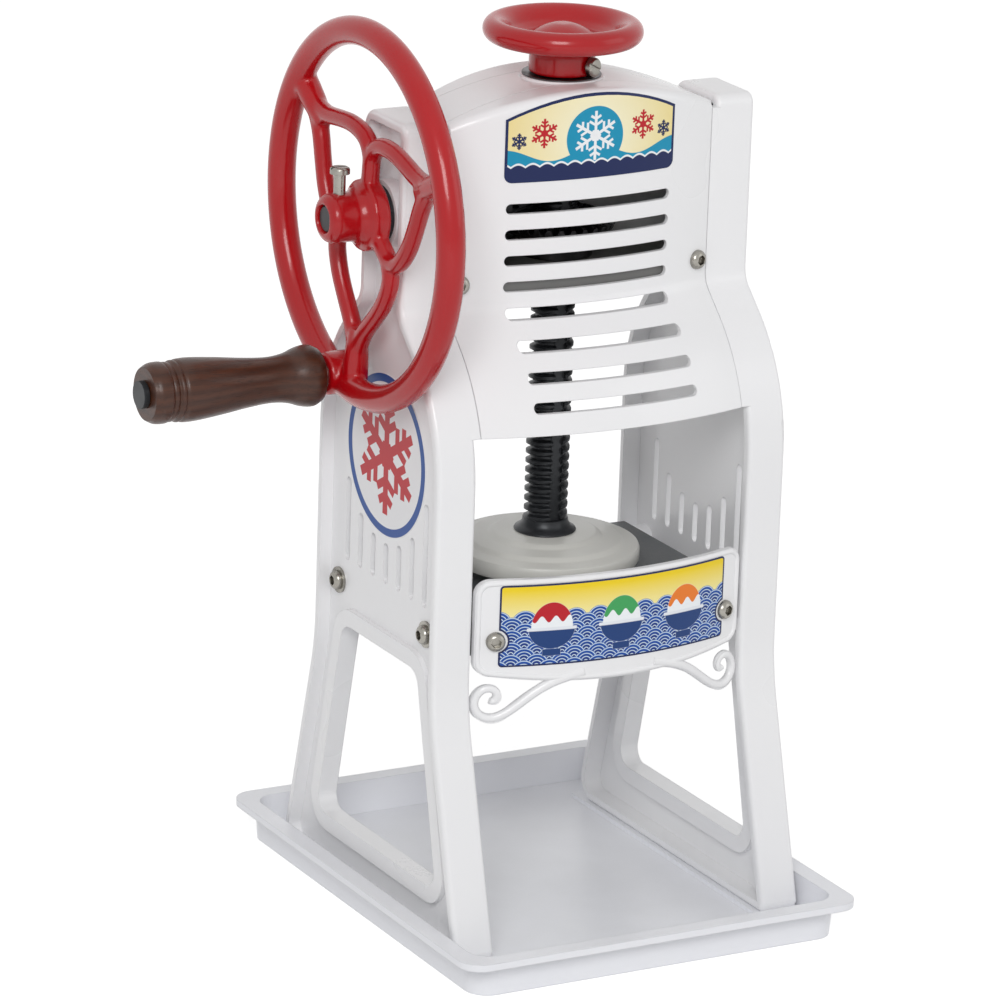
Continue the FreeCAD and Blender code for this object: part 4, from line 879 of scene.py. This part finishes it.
def printed(name, picture, spread=(1.0, 0.0), centre=(0.0, 0.0)):
    """A label's material. The picture gets the millimetres across and up from the label's centre."""
    made, tree, shader, place = new_material(name)
    axes = add(tree, "ShaderNodeSeparateXYZ", None, {"Vector": place}).outputs
    across = Wire(tree, axes["X"]) * (spread[0] / MM) + Wire(tree, axes["Y"]) * (spread[1] / MM)
    up = Wire(tree, axes["Z"]) * (1 / MM) - centre[1]
    skin = use(tree, casting_skin, {"Vector": place, "Peel": 0.004, "Wave": 0.03})
    ink = picture(tree, across - centre[0], up)
    mottle = Wire(tree, skin["Patches"]) * 0.04
    plug(tree, shader.inputs["Base Color"], mix(tree, mottle, ink, paint(128, 128, 128)))
    plug(tree, shader.inputs["Roughness"], Wire(tree, skin["Patches"]) * 0.08 + 0.3)
    shader.inputs["Specular IOR Level"].default_value = 0.3
    bumped(tree, shader, skin["Height"], 0.1)
    return made


def crystal_at(tree, across, up, centre, reach, stroke):
    feeds = {"Across": across - centre[0], "Up": up - centre[1], "Reach": reach, "Stroke": stroke}
    return use(tree, snow_crystal, feeds)["Mask"]


def plain_ink(ink):
    return lambda tree, across, up: ink


def head_picture(tree, across, up):
    """Snow crystals over hills and a row of waves."""
    glow = length(across, up - 21.0).ramp(10.0, 46.0)
    picture = mix(tree, glow, paint(252, 246, 214), CREAM)
    hills = up - (across * 0.13).math("COSINE") * 3.2 - 13.5
    disc = length(across, up - 20.5)
    picture = mix(tree, hills.below(0.0).high(disc.below(16.0)), picture, TURQUOISE)
    picture = mix(tree, crystal_at(tree, across, up, (0, 21.5), 12.5, 0.75), picture, SNOW)
    for side in (-1, 1):
        picture = mix(tree, crystal_at(tree, across, up, (side * 28, 24.5), 7.5, 0.6), picture, RED)
        picture = mix(tree, crystal_at(tree, across, up, (side * 41, 21.0), 4.2, 0.45), picture, NAVY)
    ripple = up - (across * 0.42).math("SINE").plain() * 1.6
    picture = mix(tree, ripple.below(8.3), picture, SNOW)
    return mix(tree, ripple.below(7.3), picture, NAVY)


def apron_picture(tree, across, up):
    """Three bowls of ice in front of water."""
    picture = mix(tree, up.ramp(26.0, 40.0), paint(252, 240, 168), paint(246, 214, 28))
    arcs = use(tree, arc_waves, {"Across": across, "Up": up, "Width": 13.0, "Rows": 7.0})
    ring = Wire(tree, arcs["Ring"])
    stripes = (ring * 4.0 + 0.1).math("FRACT")
    water = mix(tree, ring.ramp(0.1, 1.0), paint(4, 34, 112), paint(8, 80, 172))
    water = mix(tree, (stripes - 0.82).plain().below(0.13, 0.06), water, paint(214, 232, 244))
    picture = mix(tree, arcs["Water"], picture, water)
    for middle, syrup in ((-38.0, RED), (0.0, paint(64, 164, 92)), (38.0, paint(240, 128, 40))):
        place = {"Across": (across - middle) / 1.5, "Up": (up - 19.0) / 1.5}
        bowl = use(tree, ice_bowl, {**place, "Syrup": syrup})
        picture = mix(tree, bowl["Mask"], picture, bowl["Colour"])
    return picture


def emblem_picture(tree, across, up):
    """A large crystal in a ring."""
    away = length(across, up)
    picture = mix(tree, crystal_at(tree, across, up, (0, 0), 31.0, 2.6), paint(240, 240, 242), RED)
    return mix(tree, (away - 39.6).plain().below(2.1), picture, BLUE)


print("inks are ready")

# %% [markdown]
# ## Labels that follow a bowed plate
#
# Both front plates are bowed, and a label on them bends the same way. It starts as a flat outline,
# which is cut into narrow strips so that it can bend, and each point then moves back onto the plate.
# A Shrinkwrap modifier would also lay it down, but here the bow is known, so a formula is exact. A
# rim inset from the outline carries the border's ink, and a thin thickness lets the edge catch light.

# %% Bend and cut the labels
def arc_points(centre, radius, start, end, steps=6):
    """Points on an arc in the label's plane, from one angle to another in degrees."""
    turns = [math.radians(start + (end - start) * k / steps) for k in range(steps + 1)]
    return [(centre[0] + radius * math.cos(t), centre[1] + radius * math.sin(t)) for t in turns]


LABEL_THICK, LABEL_GAP = 0.22, 0.02


def laid_label(name, outline, lay, materials, rim, strip=4.0, cuts=()):
    """A label from its outline in millimetres: rimmed, cut into strips, laid down and made thick."""
    mesh = bmesh.new()
    sheet = mesh.faces.new([mesh.verts.new((a, 0, u)) for a, u in outline])
    mesh.normal_update()
    if rim:
        inner = bmesh.ops.inset_region(mesh, faces=[sheet], thickness=rim, use_even_offset=True,
                                       use_boundary=True)
        for face in inner["faces"]:
            face.material_index = 1
    reach = max(abs(a) for a, u in outline)
    strips = range(int(-reach // strip), int(reach // strip) + 1)
    planes = [((k * strip + 0.01, 0, 0), (1, 0, 0)) for k in strips]
    planes += [((0, 0, cut), (0, 0, 1)) for cut in cuts]
    for place, way in planes:
        parts = mesh.verts[:] + mesh.edges[:] + mesh.faces[:]
        bmesh.ops.bisect_plane(mesh, geom=parts, plane_co=place, plane_no=way)
    made = bmesh.ops.extrude_face_region(mesh, geom=mesh.faces[:])
    lifted = {v for v in made["geom"] if isinstance(v, bmesh.types.BMVert)}
    for vert in mesh.verts:
        lift = LABEL_THICK if vert in lifted else LABEL_GAP
        vert.co = Vector(lay(vert.co.x, vert.co.z, lift)) * MM
    finished(name, mesh, "stand", materials, crease=20)


def on_bow(axis, bow):
    """Lays a point on a bowed plate, a lift in front of it."""
    def lay(across, up, lift):
        depth = axis - math.sqrt(bow * bow - across * across)
        way = (across / bow, (depth - axis) / bow)
        return across + way[0] * lift, depth + way[1] * lift, up
    return lay


ARCH_TOP, ARCH_RADIUS, ARCH_ROUND = 430.0, 195.0, 5.0


def on_head(across, up, lift):
    """Lays a point on the front cover, whose top edge is round."""
    edge = ARCH_TOP - ARCH_RADIUS + math.sqrt(ARCH_RADIUS ** 2 - across ** 2)
    past = min(max(up - edge + ARCH_ROUND, 0), ARCH_ROUND)
    sunk = ARCH_ROUND - math.sqrt(ARCH_ROUND ** 2 - past ** 2)
    return on_bow(*COVER_BOW)(across, up, lift - sunk)


HEAD_LOW, HEAD_HALF, HEAD_SHOULDER, HEAD_TOP = 385.4, 48.0, 417.6, 428.4
rise = HEAD_TOP - HEAD_SHOULDER
arch = (HEAD_HALF ** 2 + rise ** 2) / (2 * rise)
swing = math.degrees(math.asin(HEAD_HALF / arch))
outline = arc_points((-HEAD_HALF + 4, HEAD_LOW + 4), 4, 180, 270)
outline += arc_points((HEAD_HALF - 4, HEAD_LOW + 4), 4, 270, 360)
outline += arc_points((0, HEAD_TOP - arch), arch, 90 - swing, 90 + swing, 16)
head_ink = printed("Head label print", head_picture, centre=(0.0, HEAD_LOW))
border_ink = printed("Navy border ink", plain_ink(NAVY))
laid_label("head_label", outline, on_head, [head_ink, border_ink], 1.4,
           cuts=[HEAD_SHOULDER - 3.5 + 0.7 * k for k in range(20)])

# %% [markdown]
# ## The apron's bead and scrolls
#
# A low bead runs round the edge of the apron, and a scroll hangs under each end like a curl of iron
# strap. Both are long round forms that follow a line, and a curve with a bevel is made for that: the
# points say where it goes, and each one's radius says how thick it is there.

# %% Bend the bead and the scrolls
def bowed_bar(name, line, thick, lift, closed=False):
    """A round bar on the apron's bow, through (across, up) points with a share of its thickness each."""
    lay = on_bow(*APRON_BOW)
    curve = bpy.data.curves.new(name, "CURVE")
    curve.dimensions, curve.bevel_depth, curve.bevel_resolution = "3D", thick / 2 * MM, 5
    curve.use_fill_caps, curve.resolution_u = True, 8
    spline = curve.splines.new("NURBS")
    spline.points.add(len(line) - 1)
    for point, (across, up, share) in zip(spline.points, line):
        point.co = (*(Vector(lay(across, up, lift)) * MM), 1)
        point.radius = share
    spline.order_u, spline.use_endpoint_u, spline.use_cyclic_u = 4, not closed, closed
    curve.materials.append(white_enamel)
    placed(name, curve, "stand")
    print(name, "follows", len(line), "points")


EDGE_HALF, EDGE_LOW, EDGE_HIGH, EDGE_SAG, CORNER = 74.4, 144.6, 192.0, 5.0, 6.5
bead = arc_points((EDGE_HALF - CORNER, EDGE_LOW + CORNER), CORNER, 270, 360)
bead += [(EDGE_HALF, 160.0), (EDGE_HALF, 176.0)]
bead += arc_points((EDGE_HALF - CORNER, EDGE_HIGH - CORNER), CORNER, 0, 90)
bead += [(48.0 - 16 * k, EDGE_HIGH) for k in range(7)]
bead += [(-a, u) for a, u in bead[:15][::-1]]
bead += [(across, EDGE_LOW - EDGE_SAG * (1 - (across / 66) ** 2)) for across in range(-60, 61, 12)]
bowed_bar("apron_bead", [(a, u, 1) for a, u in bead], 3.0, -0.5, closed=True)
SCROLL = [
    (20, 142.6), (30, 140.6), (39, 137.6), (48, 132), (57, 124.6), (65.5, 119.8), (73, 121.6), (76, 128.6),
    (73.2, 135.4), (67.2, 137.4), (62.8, 133.4), (65.2, 128.8), (67.6, 130.2),
]
for side, word in ((-1, "left"), (1, "right")):
    bar = [(side * a, u, 1.12 - 0.4 * k / len(SCROLL)) for k, (a, u) in enumerate(SCROLL)]
    bowed_bar(word + "_scroll", bar, 5.0, -1.5)

# %% [markdown]
# The apron's label reaches as far as its two screws, and its ends are notched round their heads.

# %% The apron's label
APRON_LOW, APRON_HIGH, APRON_HALF, NOTCH = 148.0, 190.6, 64.5, 6.0
dip = math.degrees(math.acos((APRON_SCREW_OUT - APRON_HALF) / NOTCH))
outline = arc_points((APRON_HALF - 2, APRON_LOW + 2), 2, 270, 360)
outline += arc_points((APRON_SCREW_OUT, middle_height("apron_screws")), NOTCH, 180 + dip, 180 - dip, 10)
outline += arc_points((APRON_HALF - 2, APRON_HIGH - 2), 2, 0, 90)
outline += [(-a, u) for a, u in outline[::-1]]
apron_ink = printed("Apron label print", apron_picture, centre=(0.0, APRON_LOW))
laid_label("apron_label", outline, on_bow(*APRON_BOW), [apron_ink, border_ink], 0.9)

# %% [markdown]
# The round emblem lies on the side panels, which are flat, one on each side. The same function lays
# it, with another rule for where a point goes.

# %% The side emblems
EMBLEM_HEIGHT, EMBLEM_RADIUS, PANEL = 241.5, 42.0, 92.5


def on_panel(side):
    def lay(across, up, lift):
        return side * (PANEL + lift), SCREW_AXIS + side * across, EMBLEM_HEIGHT + up
    return lay


circle = arc_points((0, 0), EMBLEM_RADIUS, 0, 354, 59)
for side, word in ((-1, "left"), (1, "right")):
    emblem_ink = printed("Emblem print " + word, emblem_picture, (0.0, float(side)),
                         (side * SCREW_AXIS, EMBLEM_HEIGHT))
    laid_label(word + "_emblem", circle, on_panel(side), [emblem_ink], 0, strip=14.0)

# %% [markdown]
# ## Floor and background
#
# The machine stands on a white studio floor that runs out of sight. Only its soft shadow shows that
# there is a floor. A bright lamp could bleach the floor, but it would bleach the enamel too. So the
# floor's own white is lifted for the camera and for reflections, by a Light Path node, and the lamps
# stay at a level at which colours render about as they are written.

# %% The studio
mesh = bmesh.new()
bmesh.ops.create_circle(mesh, cap_ends=True, segments=96, radius=9.0)
data = bpy.data.meshes.new("floor")
mesh.to_mesh(data)
mesh.free()
floor = bpy.data.objects.new("floor", data)
bpy.context.scene.collection.objects.link(floor)
floor.location.z = -0.0002


def seen_as_white(tree):
    """1 for the camera, reflections and light through glass, 0 for the light that falls on things."""
    rays = add(tree, "ShaderNodeLightPath").outputs
    return Wire(tree, rays["Is Camera Ray"]).high(rays["Is Glossy Ray"]).high(rays["Is Transmission Ray"])


floor_paint = bpy.data.materials.new("Studio floor")
floor_paint.use_nodes = True
tree = floor_paint.node_tree
tree.nodes.clear()
matt = add(tree, "ShaderNodeBsdfDiffuse", None, {"Color": (0.8, 0.8, 0.8, 1)})
lift = add(tree, "ShaderNodeEmission", None, {"Color": (1, 1, 1, 1), "Strength": seen_as_white(tree) * 0.6})
both = add(tree, "ShaderNodeAddShader")
plug(tree, both.inputs[0], matt.outputs[0])
plug(tree, both.inputs[1], lift.outputs[0])
plug(tree, add(tree, "ShaderNodeOutputMaterial").inputs["Surface"], both.outputs[0])
data.materials.append(floor_paint)

WORLD_LEVEL = 0.5
world = bpy.data.worlds.new("Studio")
bpy.context.scene.world = world
world.use_nodes = True
tree = world.node_tree
sky = tree.nodes["Background"]
sky.inputs["Color"].default_value = (1, 1, 1, 1)
plug(tree, sky.inputs["Strength"], seen_as_white(tree) * (1 - WORLD_LEVEL) + WORLD_LEVEL)


def soft_lamp(name, place, aim, power, wide):
    """A square soft box that shines on a point."""
    lamp = bpy.data.lights.new(name, "AREA")
    lamp.energy, lamp.size = power, wide
    made = bpy.data.objects.new(name, lamp)
    made.location = place
    made.rotation_euler = (Vector(aim) - Vector(place)).to_track_quat("-Z", "Y").to_euler()
    bpy.context.scene.collection.objects.link(made)
    print(name, "lamp:", power, "W")


soft_lamp("key", (-1.5, -2.3, 1.9), (0, 0, 0.22), 40.0, 1.2)
soft_lamp("fill", (2.0, -1.6, 1.2), (0, 0, 0.22), 6.0, 1.6)

# %% [markdown]
# ## The camera
#
# The picture was taken with a long lens from the front left and a little above. Its direction, tilt
# and distance were solved from edges of known size, and are given here in degrees and millimetres.
# The lens comes from how many pixels one unit of angle covers, and the small shift is where the
# lens's own centre falls in the frame.

# %% Place the camera
TURN, TILT, ROLL = math.radians(-29.221), math.radians(17.35), math.radians(2.047)
TARGET, DISTANCE = Vector((-12.795, 7.0, 202.589)), 3033.39
FRAME_PIXELS, PIXELS_PER_UNIT, CENTRE = 1000.0, 5948.52, (523.5, 511.1)
back = Vector((math.sin(TURN) * math.cos(TILT), -math.cos(TURN) * math.cos(TILT), math.sin(TILT)))
level = (-back).cross(Vector((0, 0, 1))).normalized()
rise = level.cross(-back)
right = level * math.cos(ROLL) + rise * math.sin(ROLL)
upward = rise * math.cos(ROLL) - level * math.sin(ROLL)
lens = bpy.data.cameras.new("camera")
lens.sensor_width = 36.0
lens.lens = PIXELS_PER_UNIT / FRAME_PIXELS * lens.sensor_width
lens.shift_x = (FRAME_PIXELS / 2 - CENTRE[0]) / FRAME_PIXELS
lens.shift_y = (CENTRE[1] - FRAME_PIXELS / 2) / FRAME_PIXELS
lens.clip_start, lens.clip_end = 0.1, 40.0
camera = bpy.data.objects.new("camera", lens)
axes = Matrix((right, upward, back)).transposed().to_4x4()
camera.matrix_world = Matrix.Translation((TARGET + back * DISTANCE) * MM) @ axes
bpy.context.scene.collection.objects.link(camera)
bpy.context.scene.camera = camera
bpy.context.scene.view_settings.view_transform = "Standard"
print("lens", round(lens.lens, 1), "mm, shift", round(lens.shift_x, 4), round(lens.shift_y, 4))
